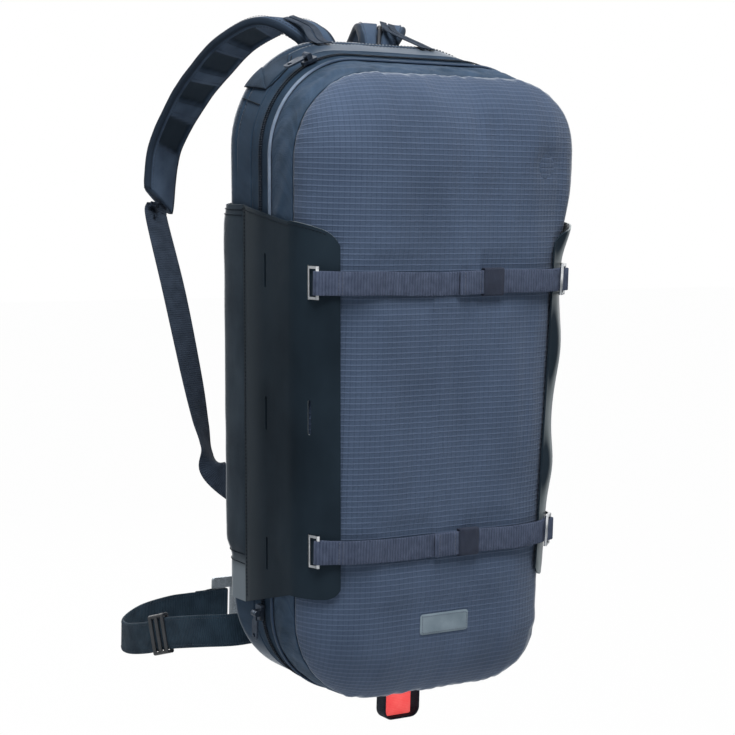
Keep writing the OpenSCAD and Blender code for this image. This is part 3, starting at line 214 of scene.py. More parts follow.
def grid_normals(rows):
    """Inward directions over closed rings of points."""
    around = np.roll(rows, -1, 1) - np.roll(rows, 1, 1)
    n = np.cross(np.gradient(rows, axis=0), around)
    return n / np.maximum(np.linalg.norm(n, axis=2, keepdims=True), 1e-9)


def outward(mesh):
    """Turns a closed mesh's normals outwards."""
    shell = bmesh.new()
    shell.from_mesh(mesh)
    bmesh.ops.recalc_face_normals(shell, faces=shell.faces)
    shell.to_mesh(mesh)
    shell.free()


def piece(name, points, faces, corners, finish, crisp):
    """Object from points in mm, with a pattern map named cut in metres, sharp above crisp degrees."""
    mesh = bpy.data.meshes.new(name)
    mesh.from_pydata((points / 1000).tolist(), [], faces)
    layer = mesh.uv_layers.new(name="cut")
    layer.uv.foreach_set("vector", np.asarray(corners, np.float32).ravel())
    outward(mesh)
    mesh.shade_smooth()
    if crisp:
        mesh.set_sharp_from_angle(angle=math.radians(crisp))
    mesh.materials.append(finish)
    made = bpy.data.objects.new(name, mesh)
    scene.collection.objects.link(made)
    return made


def lengths(points, axis):
    """Way along a grid of points from its first row or column."""
    step = np.linalg.norm(np.diff(points, axis=axis), axis=-1)
    return np.concatenate([np.zeros_like(step.take([0], axis)), np.cumsum(step, axis)], axis)


def grid_piece(name, rows, finish, loop=False, cut=None, crisp=None):
    """Object from closed rings of points in mm, which are capped or joined in a loop."""
    rows = np.asarray(rows, float)
    n, m = rows.shape[:2]
    if cut is None:
        u = lengths(rows, 1)
        v = np.concatenate([[0], np.cumsum(np.linalg.norm(np.diff(rows, axis=0), axis=2).mean(1))])
        cut = np.stack([u, np.broadcast_to(v[:, None], u.shape)], 2)
        seam = np.concatenate([u[:, -1:] + np.linalg.norm(rows[:, :1] - rows[:, -1:], axis=2), v[:, None]], 1)
    else:
        seam = cut[:, 0]
    cut = np.concatenate([cut, seam[:, None]], 1) / 1000
    faces, corners = [], []
    for i in range(n if loop else n - 1):
        k = (i + 1) % n
        for j in range(m):
            l = (j + 1) % m
            faces.append((i * m + j, i * m + l, k * m + l, k * m + j))
            corners += [cut[i, j], cut[i, j + 1], cut[k, j + 1], cut[k, j]]
    if not loop:
        faces += [tuple(range(m - 1, -1, -1)), tuple(range((n - 1) * m, n * m))]
        corners += list(cut[0, m - 1::-1]) + list(cut[n - 1, :m])
    return piece(name, rows.reshape(-1, 3), faces, corners, finish, crisp)


def shader_group(name, inputs, outputs):
    tree = bpy.data.node_groups.new(name, "ShaderNodeTree")
    for label in inputs:
        kind = "NodeSocketVector" if label == "Vector" else "NodeSocketFloat"
        tree.interface.new_socket(label, in_out="INPUT", socket_type=kind)
    for label in outputs:
        tree.interface.new_socket(label, in_out="OUTPUT", socket_type="NodeSocketFloat")
    return tree, tree.nodes.new("NodeGroupInput").outputs, tree.nodes.new("NodeGroupOutput").inputs


def ramp_of(tree, value, low, high, to_low=0.0, to_high=1.0):
    return feed(tree.nodes.new("ShaderNodeMapRange"), value, low, high, to_low, to_high).outputs[0]


fading, given, out = shader_group("cloth_fading", ("Vector", "Size"), ("Fade",))
spread = fading.nodes.new("ShaderNodeVectorMath")
spread.operation = "DIVIDE"
size3 = feed(fading.nodes.new("ShaderNodeCombineXYZ"), *[given["Size"]] * 3)
feed(spread, given["Vector"], size3.outputs[0])
cloud = feed(fading.nodes.new("ShaderNodeTexNoise"), Vector=spread.outputs[0], Scale=1.0, Detail=4.0)
fading.links.new(ramp_of(fading, cloud.outputs[0], 0.32, 0.68), out["Fade"])

weaving, given, out = shader_group("thread_weave", ("Vector", "Pitch"), ("Thread",))
split = feed(weaving.nodes.new("ShaderNodeSeparateXYZ"), given["Vector"])
turns = []
for axis in ("X", "Y"):
    threads = sum_of(weaving, "DIVIDE", split.outputs[axis], given["Pitch"])
    turns.append(sum_of(weaving, "SINE", sum_of(weaving, "MULTIPLY", threads, 2 * math.pi)))
crossing = sum_of(weaving, "MULTIPLY", *turns)
weaving.links.new(sum_of(weaving, "MULTIPLY_ADD", crossing, 0.5, 0.5), out["Thread"])


def blend_of(tree, factor, a, b):
    """Colour socket between two colours, each a code or a socket."""
    step = tree.nodes.new("ShaderNodeMix")
    step.data_type = "RGBA"
    a, b = (rgb(c) if isinstance(c, str) else c for c in (a, b))
    return feed(step, Factor=factor, A=a, B=b).outputs["Result"]


def placed(tree, group, vector, **values):
    step = tree.nodes.new("ShaderNodeGroup")
    step.node_tree = group
    return feed(step, Vector=vector, **values).outputs


def blank(name):
    """New material with its tree and its Principled shader."""
    made = bpy.data.materials.new(name)
    made.use_nodes = True
    return made, made.node_tree, made.node_tree.nodes["Principled BSDF"]


def over_of(tree, share, top, under):
    """Socket of top laid over under by a fixed share."""
    return sum_of(tree, "MULTIPLY_ADD", top, share, sum_of(tree, "MULTIPLY", under, 1 - share))


def relief_of(tree, height, strength, depth):
    step = tree.nodes.new("ShaderNodeBump")
    return feed(step, Strength=strength, Distance=depth / 1000, Height=height).outputs[0]


def cloth(name, dark, light, pitch, blotch, weave=0.3, rough=0.72, sheen=0.04, bump=0.35, gloss=0.08,
          ribs=0.0, rib_depth=0.5, grid=None, rim=None, creases=None):
    """Woven cloth laid by a piece's own cut, with ribs, ripstop, creases or a rim. The creases paint shade
    into their hollows and highlight onto their ridges, and the rim is a painted sheen that pales as the cloth
    turns from view.
    """
    made, tree, shader = blank(name)
    lie = tree.nodes.new("ShaderNodeUVMap")
    lie.uv_map = "cut"
    lie = lie.outputs[0]
    place = tree.nodes.new("ShaderNodeTexCoord").outputs["Object"]
    fade = placed(tree, fading, place, Size=blotch / 1000)["Fade"]
    thread = placed(tree, weaving, lie, Pitch=pitch / 1000)["Thread"]
    tone = over_of(tree, weave, thread, fade)
    height = sum_of(tree, "MULTIPLY_ADD", fade, 0.5, thread)
    if ribs:
        split = feed(tree.nodes.new("ShaderNodeSeparateXYZ"), lie)
        worn = placed(tree, fading, lie, Size=0.004)["Fade"]
        turn = sum_of(tree, "MULTIPLY_ADD", split.outputs["Y"], 2000 * math.pi / ribs, worn)
        rib = sum_of(tree, "MULTIPLY_ADD", sum_of(tree, "SINE", turn), 0.5, 0.5)
        tone = over_of(tree, rib_depth, rib, tone)
        height = sum_of(tree, "MULTIPLY_ADD", rib, 1.5, height)
    if creases:
        size, depth, slant = creases
        laid = feed(tree.nodes.new("ShaderNodeMapping"), Vector=lie, Rotation=(0, 0, math.radians(slant)),
                    Scale=(1, 0.25, 1))
        fold = placed(tree, fading, laid.outputs[0], Size=size / 1000)["Fade"]
        # Painted shade and highlight: the crease pattern darkens the colour in its hollows and lightens it on
        # its ridges.
        tone = over_of(tree, 0.3, fold, tone)
        height = sum_of(tree, "MULTIPLY_ADD", fold, depth / 0.6, height)
    colour = blend_of(tree, tone, dark, light)
    if grid:
        cell, row_colour, row_share, column_colour, column_share = grid
        lines = placed(tree, ripstop, lie, Cell=cell / 1000)
        upright = sum_of(tree, "MULTIPLY", lines["Columns"], column_share)
        colour = blend_of(tree, upright, colour, column_colour)
        level = sum_of(tree, "MULTIPLY", lines["Rows"], row_share)
        colour = blend_of(tree, level, colour, row_colour)
        raised = sum_of(tree, "ADD", height, lines["Columns"])
        height = sum_of(tree, "MULTIPLY_ADD", lines["Rows"], 1.4, raised)
    if rim:
        # Painted sheen: the colour pales towards the outline, where the cloth turns from view.
        turned = tree.nodes.new("ShaderNodeLayerWeight").outputs["Facing"]
        pale, low, high = rim
        colour = blend_of(tree, ramp_of(tree, turned, low, high, 0.0, 0.85), colour, pale)
        feed(shader, Coat_Weight=ramp_of(tree, turned, low, high), Coat_Roughness=0.4)
    feed(shader, Base_Color=colour, Roughness=ramp_of(tree, tone, 0, 1, rough + 0.08, rough - 0.08),
         Normal=relief_of(tree, height, bump, 0.6), Sheen_Weight=sheen, Sheen_Roughness=0.5,
         Specular_IOR_Level=gloss)
    return made


def mark(made, label, values):
    """Gives a piece's points a share from 0 to 1 for its finish."""
    layer = made.data.attributes.new(label, "FLOAT", "POINT")
    layer.data.foreach_set("value", np.asarray(values, np.float32).ravel())


def marked(tree, label):
    step = tree.nodes.new("ShaderNodeAttribute")
    step.attribute_name = label
    return step.outputs["Fac"]


def tint(finish, label, colour):
    """Changes a finish's colour where its pieces carry a mark."""
    tree = finish.node_tree
    base = tree.nodes["Principled BSDF"].inputs["Base Color"]
    tree.links.new(blend_of(tree, marked(tree, label), base.links[0].from_socket, colour), base)


def bead_rows(name, flat):
    """Geometry Nodes tree that sets beads along a guide's edges, flat ones with a side to the pack's Y."""
    tree = bpy.data.node_groups.new(name, "GeometryNodeTree")
    tree.interface.new_socket("Geometry", in_out="OUTPUT", socket_type="NodeSocketGeometry")
    wanted = (("Geometry", "Geometry"), ("Pitch", "Float"), ("Size", "Vector"), ("Finish", "Material"))
    for label, kind in wanted:
        tree.interface.new_socket(label, in_out="INPUT", socket_type="NodeSocket" + kind)
    given = tree.nodes.new("NodeGroupInput").outputs
    kinds = ("MeshToCurve", "ResampleCurve", "MeshUVSphere", "InputTangent", "InstanceOnPoints",
             "RealizeInstances", "SetShadeSmooth", "SetMaterial")
    line, spaced, bead, along, sown, real, even, dyed = (tree.nodes.new("GeometryNode" + k) for k in kinds)
    spaced.mode = "LENGTH"
    feed(line, Mesh=given["Geometry"])
    feed(spaced, Curve=line.outputs[0], Length=given["Pitch"])
    feed(bead, Segments=6, Rings=4, Radius=0.5)
    if flat:
        aim = tree.nodes.new("FunctionNodeAxesToRotation")
        feed(aim, Primary_Axis=along.outputs[0], Secondary_Axis=(0, 1, 0))
        aim.primary_axis, aim.secondary_axis = "Z", "X"
    else:
        aim = feed(tree.nodes.new("FunctionNodeAlignRotationToVector"), Vector=along.outputs[0])
        aim.axis = "Z"
    feed(sown, Points=spaced.outputs[0], Instance=bead.outputs[0], Rotation=aim.outputs[0],
         Scale=given["Size"])
    feed(real, sown.outputs[0])
    feed(even, real.outputs[0])
    feed(dyed, Geometry=even.outputs[0], Material=given["Finish"])
    feed(tree.nodes.new("NodeGroupOutput"), Geometry=dyed.outputs[0])
    return tree


def built(made):
    """New mesh of an object as its modifiers leave it."""
    bpy.context.view_layer.update()
    return bpy.data.meshes.new_from_object(made.evaluated_get(bpy.context.evaluated_depsgraph_get()))


def beads(name, lines, tree, pitch, size, finish, closed=False):
    """Object of beads along lines of points in mm."""
    points, edges = [], []
    for row in lines:
        n = len(row)
        edges += [(len(points) + i, len(points) + (i + 1) % n) for i in range(n if closed else n - 1)]
        points += [tuple(np.asarray(p) / 1000) for p in row]
    guide = bpy.data.meshes.new(name + "_guide")
    guide.from_pydata(points, edges, [])
    stand = bpy.data.objects.new(name + "_guide", guide)
    scene.collection.objects.link(stand)
    run = stand.modifiers.new("grow", "NODES")
    run.node_group = tree
    values = {"Pitch": pitch / 1000, "Size": [s / 1000 for s in size], "Finish": finish}
    for item in tree.interface.items_tree:
        if item.name in values:
            run[item.identifier] = values[item.name]
    mesh = built(stand)
    bpy.data.objects.remove(stand)
    made = bpy.data.objects.new(name, mesh)
    scene.collection.objects.link(made)
    return made


stitching = bead_rows("stitch_rows", flat=False)


def stitches(name, lines, thread, slot, thick, pitch=3.3, length=2.5):
    """Rows of stitches along lines of points in mm."""
    settle(beads(name, lines, stitching, pitch, (thick, thick, length), thread), "pack", slot)


def settle(made, body, slot, *replaced):
    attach(made, body)
    if replaced:
        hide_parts(*replaced)


navy_thread = cloth("navy_thread", "#2a303a", "#4c5562", 0.8, 9, weave=0.5)
# Painted sheen and shade: the rim pales the navy towards the outline, and the creases darken the colour in
# their hollows.
body_cloth = cloth("navy_body_cloth", "#212f3e", "#384b60", 1.5, 60, weave=0.25, gloss=0.05,
                   rim=("#77828f", 0.7, 0.95), creases=(13, 0.8, 20))
dark_thread = cloth("dark_thread", "#0c1219", "#18212b", 0.8, 9, weave=0.5)
fill = [pack_ring(rear_y, d) for d in (112, 95, 78, 60, 42, 31)]
turned = [pack_ring(rear_y - edge_r * (1 - math.cos(a)), edge_r * (1 - math.sin(a)))
          for a in np.linspace(0, math.pi / 2, 13)]
wall = [pack_ring(y) for y in (-38.2, -39.2, -40, -40.8, -41.8, -45, -50, -55, -60, -64, -65.8)]
wall_t = 2
inner_y, inner_r = rear_y - wall_t, edge_r - wall_t
lining = [pack_ring(-65.8, wall_t), pack_ring(-50, wall_t)] + [
    pack_ring(inner_y - inner_r * (1 - math.cos(a)), wall_t + inner_r * (1 - math.sin(a)))
    for a in np.linspace(math.pi / 2, 0, 5)]
rows = np.array(fill + turned + wall + lining + [pack_ring(inner_y, d) for d in (60, 112)])
out_way = -grid_normals(rows)
upper = smooth(140, 190, rows[:, :, 2])
seam_fold = -1.1 * np.exp(-((rows[:, :, 1] + 40) / 0.9) ** 2) * upper
soft_folds = 0.9 * ripple(rows, 34, 3.0) * upper * smooth(-15, -30, rows[:, :, 1])
lift = (seam_fold + soft_folds)[:, :, None] * out_way
skin = len(fill) + len(turned) + len(wall)
rows[:skin] += lift[:skin]
settle(grid_piece("main_body_cloth", rows, body_cloth), "pack", "body_fabric", "main_body")
crest = [pack_ring(y, -0.35, 40, 60, 60) for y in (-36.5, -43.5)]
crest = [r[(r[:, 2] > 196)] for r in crest]
stitches("top_seam_stitches", crest, navy_thread, "body_fabric", pitch=3.6, length=2.6, thick=0.8)


# Zip. A dark woven tape runs right round the pack between body and front, with a nylon coil along its
# middle. Two metal sliders run on the coil, one over the top left corner and one at the left foot.
tape_cloth = cloth("zip_tape_weave", "#1d2c3b", "#33485e", 1.2, 20, weave=0.45, rough=0.7, ribs=1.6,
                   rib_depth=0.2, gloss=0.04)
rows = [pack_ring(y, d, 30, 60, 30) for y, d in (
    (-66.2, 0.5), (-67, 0.05), (-70, 0.35), (-76, 0.4), (-79, 0.15), (-82.5, 0.1), (-86, 0.15), (-89, 0.4),
    (-95, 0.35), (-97.6, 0.05), (-98.6, 0.5), (-98.6, 2), (-66.2, 2))]
settle(grid_piece("zip_tape", rows, tape_cloth, loop=True), "pack", "zip_tape", "main_zip_tape")

coil_finish = cloth("zip_coil_nylon", "#0b121b", "#1b2633", 0.9, 12, weave=0.4, rough=0.5, sheen=0.0)
coil_rings = [pack_ring(y, -0.75, 40, 40, 20) for y in (-80.9, -84.1)]  # the two sides of the coil
teething = bead_rows("coil_teeth", flat=True)
coil = beads("zip_coil_teeth", coil_rings, teething, 2.1, (3.4, 1.3, 1.6), coil_finish, closed=True)
settle(coil, "pack", "zip_coil", "zip_coil")

# Gusset and piping. A band of grey-blue nylon joins the zip to the front panel. It is a little full, so it
# wrinkles on the slant, and a piping is sewn along its rear edge. Its pale upper sides are a painted
# highlight.
# Painted shade: the creases darken the colour in their hollows and lighten it on their ridges.
gusset_cloth = cloth("gusset_cloth", "#283848", "#445870", 1.5, 30, weave=0.22, rough=0.66,
                     creases=(8, 2.4, 35))
depth = np.concatenate([[-99.3], np.linspace(-100, -133, 15), [-133.7]])
rows = np.array([pack_ring(y, 0.0, 36, 84, 38) for y in depth])
across = (-99 - rows[:, :, 1]) / 35
full = 1.5 * np.sin(np.pi * np.clip(across, 0, 1)) ** 0.7 - 0.5
slant = rows.copy()
slant[:, :, 2] += 1.3 * rows[:, :, 1]
slant[:, :, 1] *= 0.35
wrinkle = 1.5 * ripple(slant, 11, 8.0) + 1.2 * ripple(slant, 26, 5.0)
full += wrinkle * np.sin(np.pi * np.clip(across, 0, 1)) ** 0.6
rows += full[:, :, None] * -grid_normals(rows)
rows = np.concatenate([rows, [pack_ring(y, wall_t, 36, 84, 38) for y in (-133.7, -99.3)]])
settle(grid_piece("gusset_cloth_band", rows, gusset_cloth, loop=True), "pack", "gusset_fabric", "gusset_band")

# The piping's pale colour is a painted highlight, kept only on the upper sides; elsewhere it takes the
# gusset's darker tone.
piping_cloth = cloth("piping_painted_highlight", "#64738a", "#93a3b8", 1.1, 14, weave=0.4, rough=0.5, sheen=0.1)
tint(piping_cloth, "without_painted_highlight", "#33445a")
rows = np.array([pack_ring(-99.2 - 2.0 * math.sin(a), -0.1 - 1.1 * (1 + math.cos(a)), 36, 60, 30)
                 for a in np.linspace(0, 2 * math.pi, 13)[:-1]])
pipe = grid_piece("gusset_pipe", rows, piping_cloth, loop=True)
mark(pipe, "without_painted_highlight", 1 - smooth(78, 122, np.abs(rows[:, :, 0])) * smooth(60, 150, rows[:, :, 2]))
settle(pipe, "pack", "piping", "gusset_piping")

# Front panel. One piece of slate-blue ripstop with a grid of thicker threads, bagged over the load and
# turned back round a soft rim to its seam, where the extra cloth is eased in as small puckers.
ripstop, given, out = shader_group("ripstop_lines", ("Vector", "Cell"), ("Rows", "Columns"))
split = feed(ripstop.nodes.new("ShaderNodeSeparateXYZ"), given["Vector"])
for axis, label in (("X", "Columns"), ("Y", "Rows")):
    cell = sum_of(ripstop, "FRACT", sum_of(ripstop, "DIVIDE", split.outputs[axis], given["Cell"]))
    off = sum_of(ripstop, "ABSOLUTE", sum_of(ripstop, "SUBTRACT", cell, 0.5))
    ripstop.links.new(ramp_of(ripstop, off, 0.05, 0.19, 1.0, 0.0), out[label])
# Painted sheen and shade: the rim pales the ripstop towards its outline, and the creases darken the colour in
# their hollows. The grid of lighter and darker threads is the cloth's own ripstop.
front_cloth = cloth("slate_ripstop", "#435269", "#52627b", 1.2, 70, weave=0.15, rough=0.6, sheen=0.12,
                    bump=0.5, grid=(4.6, "#6f7e99", 0.36, "#3a485e", 0.3), rim=("#98a3b2", 0.76, 1.0),
                    creases=(34, 1.6, 70))
strap_heights, label_z = (75, -150), -220
count = (34, 90, 40)
turn = np.concatenate([np.linspace(0, 0.5, 15), np.linspace(0.5, math.pi / 2, 19)[1:]])
rim = [pack_ring(seam_y - rim_deep * math.sin(a), rim_wide * (1 - math.cos(a)), *count) for a in turn]
inner = [66, 72, 80, 88, 96, 103, 109]
rows = np.array(rim + [pack_ring(front_y, d, *count) for d in inner])
girth = lengths(np.stack([-rim_wide * np.cos(turn), rim_deep * np.sin(turn)], 1), 0)
spread = [rim_wide - (girth[-1] - g) for g in girth] + inner
cut = np.array([pack_ring(seam_y, d, *count)[:, ::2] for d in spread])
level = np.concatenate([girth, girth[-1] + np.array(inner) - rim_wide])[:, None]
pucker = np.array([noise.noise(Vector((s / 7.5, 2.0, 0))) + 0.6 * noise.noise(Vector((s / 17, 9.0, 0)))
                   for s in lengths(rim[6], 0)])
lift = 1.5 * pucker[None, :] * np.exp(-((level - 9) / 9) ** 2)
lift -= 1.6 * np.exp(-(level / 2.2) ** 2)
x, z = rows[:, :, 0], rows[:, :, 2]
rest = smooth(14, 26, abs(z - label_z))
for strap_z in strap_heights:
    rest = smooth(16, 30, abs(z - strap_z)) * rest
broad = 2.2 * ripple(rows * (1, 1, 0.5), 46, 4.0) + 1.2 * ripple(rows * (1.6, 1, 0.5), 24, 1.0)
clear_of_wing = 1 - smooth(46, 38, level) * smooth(140, 120, abs(z + 40) - 30) * 0.9
lift += broad * smooth(4, 30, level) * rest * clear_of_wing
lift += 2.0 * smooth(70, 100, level) * rest
lift += 7.0 * np.exp(-((z - 142) / 38) ** 2) * smooth(-24, -9, x - wall_x(z)) * smooth(0, 10, level)
lift -= 3.4 * np.exp(-((x - 96) / 16) ** 2 - ((z - 175) / 13) ** 2) * smooth(6, 22, level)
lift -= 2.0 * (np.exp(-((x - 22) / 7) ** 2) + np.exp(-((x - 40) / 6) ** 2)) * np.exp(-((z - 205) / 17) ** 2)
rows += lift[:, :, None] * -grid_normals(rows)
lined_wide, lined_deep = rim_wide - wall_t, rim_deep - wall_t
inside = [pack_ring(seam_y - lined_deep * math.sin(a), wall_t + lined_wide * (1 - math.cos(a)), *count)
          for a in np.linspace(math.pi / 2, 0, 8)]
rows = np.concatenate([[pack_ring(-175.5, inner[-1], *count)], inside, rows])
cut = np.concatenate([[r[:, ::2] for r in [pack_ring(seam_y, inner[-1], *count)] + inside], cut])
settle(grid_piece("front_cloth_panel", rows, front_cloth, cut=cut), "pack", "ripstop", "front_panel")


# Side wings. Smooth coated cloth, sewn to the airbag sleeves at the rear and wrapped loosely round each side
# onto the front. Each has three long slots by its seam and three in its flap, where the strap hooks hang.
def on_side(points, side):
    """Points given outwards from a side wall, moved to their place on the left, -1, or the right, 1."""
    p = np.asarray(points, float)
    x = half_wide + p[..., 0] * math.cos(lean) + p[..., 2] * math.sin(lean)
    z = -p[..., 0] * math.sin(lean) + p[..., 2] * math.cos(lean)
    return np.stack([side * x, p[..., 1], z], -1)


def rim_point(degrees, off):
    """Point off the front's rounded rim, as x outwards from the side wall and y."""
    a = math.radians(degrees)
    normal = unit(np.array([rim_deep * math.cos(a), -rim_wide * math.sin(a)]))
    return np.array([-rim_wide * (1 - math.cos(a)), seam_y - rim_deep * math.sin(a)]) + normal * off


def shell_piece(name, outer, inner, finish):
    """Closed sheet between two grids of points in mm, sharp at its rim."""
    outer, inner = np.asarray(outer, float), np.asarray(inner, float)
    n, m = outer.shape[:2]
    flat = np.tile(np.stack([lengths(outer, 1), lengths(outer, 0)], 2).reshape(-1, 2) / 1000, (2, 1))
    grid = np.arange(n * m).reshape(n, m)
    back = grid + n * m
    quads = [np.stack([g[:-1, :-1], g[:-1, 1:], g[1:, 1:], g[1:, :-1]], 2) for g in (grid, back)]
    quads = [q.reshape(-1, 4) for q in quads]
    quads[1] = quads[1][:, ::-1]
    for a, b in ((grid[0], back[0]), (grid[-1, ::-1], back[-1, ::-1]), (grid[::-1, 0], back[::-1, 0]),
                 (grid[:, -1], back[:, -1])):
        quads.append(np.stack([a[1:], a[:-1], b[:-1], b[1:]], 1))
    quads = np.concatenate(quads)
    points = np.concatenate([outer.reshape(-1, 3), inner.reshape(-1, 3)])
    return piece(name, points, quads.tolist(), flat[quads.ravel()], finish, 40)


def capsule(centre, long, wide, through, length, width, depth):
    """Points and faces of a round-ended block, for cutting a slot."""
    count, ring = 24, []
    for a in 2 * math.pi * (np.arange(count) + 0.5) / count:
        x, y = width / 2 * math.cos(a), width / 2 * math.sin(a)
        ring.append((x, y + math.copysign((length - width) / 2, y)))
    points = [centre + wide * u + long * v + through * d for d in (-depth, depth) for u, v in ring]
    faces = [(k, (k + 1) % count, count + (k + 1) % count, count + k) for k in range(count)]
    return points, faces + [tuple(range(count - 1, -1, -1)), tuple(range(count, 2 * count))]


def slotted(made, cuts):
    """Cuts the given blocks out of a piece."""
    points, faces = [], []
    for p, f in cuts:
        faces += [tuple(i + len(points) for i in q) for q in f]
        points += [tuple(c / 1000) for c in p]
    mesh = bpy.data.meshes.new("slot_cutter")
    mesh.from_pydata(points, [], faces)
    outward(mesh)
    cutter = bpy.data.objects.new("slot_cutter", mesh)
    scene.collection.objects.link(cutter)
    cut = made.modifiers.new("slots", "BOOLEAN")
    cut.operation, cut.solver, cut.object = "DIFFERENCE", "EXACT", cutter
    result = built(made)
    made.modifiers.clear()
    made.data = result
    bpy.data.objects.remove(cutter)


wing_cloth = cloth("coated_charcoal", "#1a232b", "#2a3640", 1.1, 80, weave=0.12, rough=0.42, sheen=0.0,
                   bump=0.15, gloss=0.03, creases=(30, 0.8, 10))
# Painted sheen and reflection: the rear band of each wing is painted lighter, the flap pales towards its
# outline as the coated cloth turns from view, and the creases darken the colour in their hollows.
tint(wing_cloth, "rear", "#40474d")
tree = wing_cloth.node_tree
turned = ramp_of(tree, tree.nodes.new("ShaderNodeLayerWeight").outputs["Facing"], 0.5, 0.72)
painted_glance = sum_of(tree, "MULTIPLY", turned, marked(tree, "flap"))
shader = tree.nodes["Principled BSDF"]
painted_reflection_colour = blend_of(tree, painted_glance, shader.inputs["Base Color"].links[0].from_socket, "#8d9699")
feed(shader, Base_Color=painted_reflection_colour, Coat_Weight=painted_glance, Coat_Roughness=0.35)
sides = ((-1, "left"), (1, "right"))
wing_end = 25  # how far the flap reaches in over the front's rim
wing_rear, wing_off = -54, 2.2  # depth of the seam to the sleeve, and the gap to the side wall
wing_feet, wing_tops = (-215, -192), (135, 124)  # ends at that seam and at the front's seam
flap_turn, slot_turn = (math.degrees(math.acos(1 - x / rim_wide)) for x in (wing_end, 6.5))


def wing_profile(off):
    """Points from the sleeve to the end of the flap, as x outwards from the side wall and y."""
    laid_y = wing_rear - 13
    rear = [(0.3 + 1.9 * float(smooth(wing_rear, laid_y, y)) + off, y)
            for y in np.linspace(wing_rear, laid_y, 9)]
    wall = [(wing_off + off, y) for y in np.linspace(laid_y, seam_y, 26)[1:-1]]
    return np.array(rear + wall + [rim_point(a, wing_off + off) for a in np.linspace(0, flap_turn, 30)])


def wing_ends(p):
    """Lowest and highest point of the wing where its profile passes p."""
    corner = 14
    reach = -p[0] if p[1] < seam_y else 0.0
    foot, top = (np.interp(-p[1], (-wing_rear, -seam_y), ends) for ends in (wing_feet, wing_tops))
    if p[1] < seam_y:
        top = wing_tops[1] - 11 * reach / wing_end
    turned = max(0.0, corner - max(wing_end - reach, 0))
    drop = corner - math.sqrt(max(corner ** 2 - turned ** 2, 0))
    return foot + drop, top - drop


for side, word in sides:
    base = wing_profile(0)
    ends = np.array([wing_ends(p) for p in base])
    share = np.linspace(0, 1, 84)[:, None]
    height = ends[None, :, 0] * (1 - share) + ends[None, :, 1] * share
    over = np.stack([np.broadcast_to(c, height.shape) for c in base.T] + [height], 2)
    full = 0.5 + 0.5 * ripple(over * (1, 1, 0.45), 40, 6.0 + side)
    hang = np.abs(over[:, :, 1] - seam_y)
    crease = sum(np.exp(-((height - z) / 26) ** 2) * np.exp(-((hang - 10) / 16) ** 2) for z in strap_heights)
    full = full * smooth(wing_rear, -70, over[:, :, 1]) * smooth(0, 10, height - ends[None, :, 0])
    full = 0.9 * full + 0.8 * crease * (0.5 + 0.5 * ripple(over * (1, 0.5, 1), 9, 2.0))
    if side > 0:
        loose = sum(by * np.exp(-((height - at) / long) ** 2)
                    for at, by, long in ((125, 8, 24), (15, 5, 36), (-92, 4, 26)))
        full += loose * smooth(-70, -120, over[:, :, 1]) * smooth(-wing_end, -10, over[:, :, 0])
    thick = [np.array([wing_profile(off)]) for off in (0.0, 1.5)]
    way = thick[1] - thick[0]
    way = way / np.linalg.norm(way, axis=2, keepdims=True)
    skins = []
    for sheet_profile in thick:
        q = over.copy()
        q[:, :, :2] = sheet_profile + full[:, :, None] * way
        skins.append(on_side(q, side))
    wing = shell_piece("wing_cloth_" + word, skins[1], skins[0], wing_cloth)
    slot = (29, 3)
    cuts = [capsule(pack_point(-96, z, side), *np.eye(3)[::-1], *slot, 9) for z in (-163, -41, 81)]
    for z in (strap_heights[1], sum(strap_heights) / 2, strap_heights[0]):
        p = on_side([*rim_point(slot_turn, 0), z], side)
        through = on_side([*rim_point(slot_turn, 1), z], side) - p
        long = on_side([*rim_point(slot_turn, 0), z + 1], side) - p
        cuts.append(capsule(p, long, np.cross(long, through), through, *slot, 8))
    slotted(wing, cuts)
    wing.data.set_sharp_from_angle(angle=math.radians(40))
    depth = np.array([v.co.y for v in wing.data.vertices]) * 1000
    # The flap and rear marks place the painted reflection on the flap and the painted sheen band at the rear.
    mark(wing, "flap", smooth(-133, -147, depth))
    mark(wing, "rear", 0.75 * smooth(-96, -64, depth))
    settle(wing, "pack", "coated_wing", "side_wing_" + word)
    seam = on_side(np.array([(3.75, -57.5, z) for z in np.linspace(-208, 132, 60)]) - (1.2, 0, 0), side)
    hem = [on_side([p[0], p[1], wing_ends(p)[1] - 3.5], side) for p in wing_profile(2.05)[:-7]]
    stitches("wing_stitches_" + word, [seam, hem], dark_thread, "coated_wing", thick=0.8)

# Airbag sleeves. A soft tube of charcoal cloth along each rear edge holds the folded airbag. It is sewn to
# the wing at its front, turned round the pack's rear edge and closed below by a cross seam and a skirt.
# Painted sheen and highlight: the rim pales the sleeve towards its outline, the creases darken the colour in
# their hollows, and the skirt is painted paler where light falls on the lower rear.
sleeve_cloth = cloth("sleeve_cloth", "#262f38", "#3c4751", 1.3, 40, weave=0.16, rough=0.6, gloss=0.1,
                     rim=("#929ba3", 0.7, 0.95), creases=(12, 0.7, 15))
tint(sleeve_cloth, "skirt", "#7d878f")
closed_z = -179  # height of the cross seam


def sleeve_point(s, off):
    """Point off the side wall and the rear edge, at a share s of the sleeve's way round."""
    straight = 16.8
    run = s * (straight + edge_r * math.radians(65))
    if run < straight:
        return off, -53.8 + run
    b = (run - straight) / edge_r
    return -edge_r + (edge_r + off) * math.cos(b), rear_y - edge_r + (edge_r + off) * math.sin(b)


def sleeve_skin(s, height, off, side):
    """Grid on the sleeve's way, stood off by a grid of distances."""
    grid = [[(*sleeve_point(q, off[i, j]), z) for j, q in enumerate(s)] for i, z in enumerate(height)]
    return on_side(grid, side)


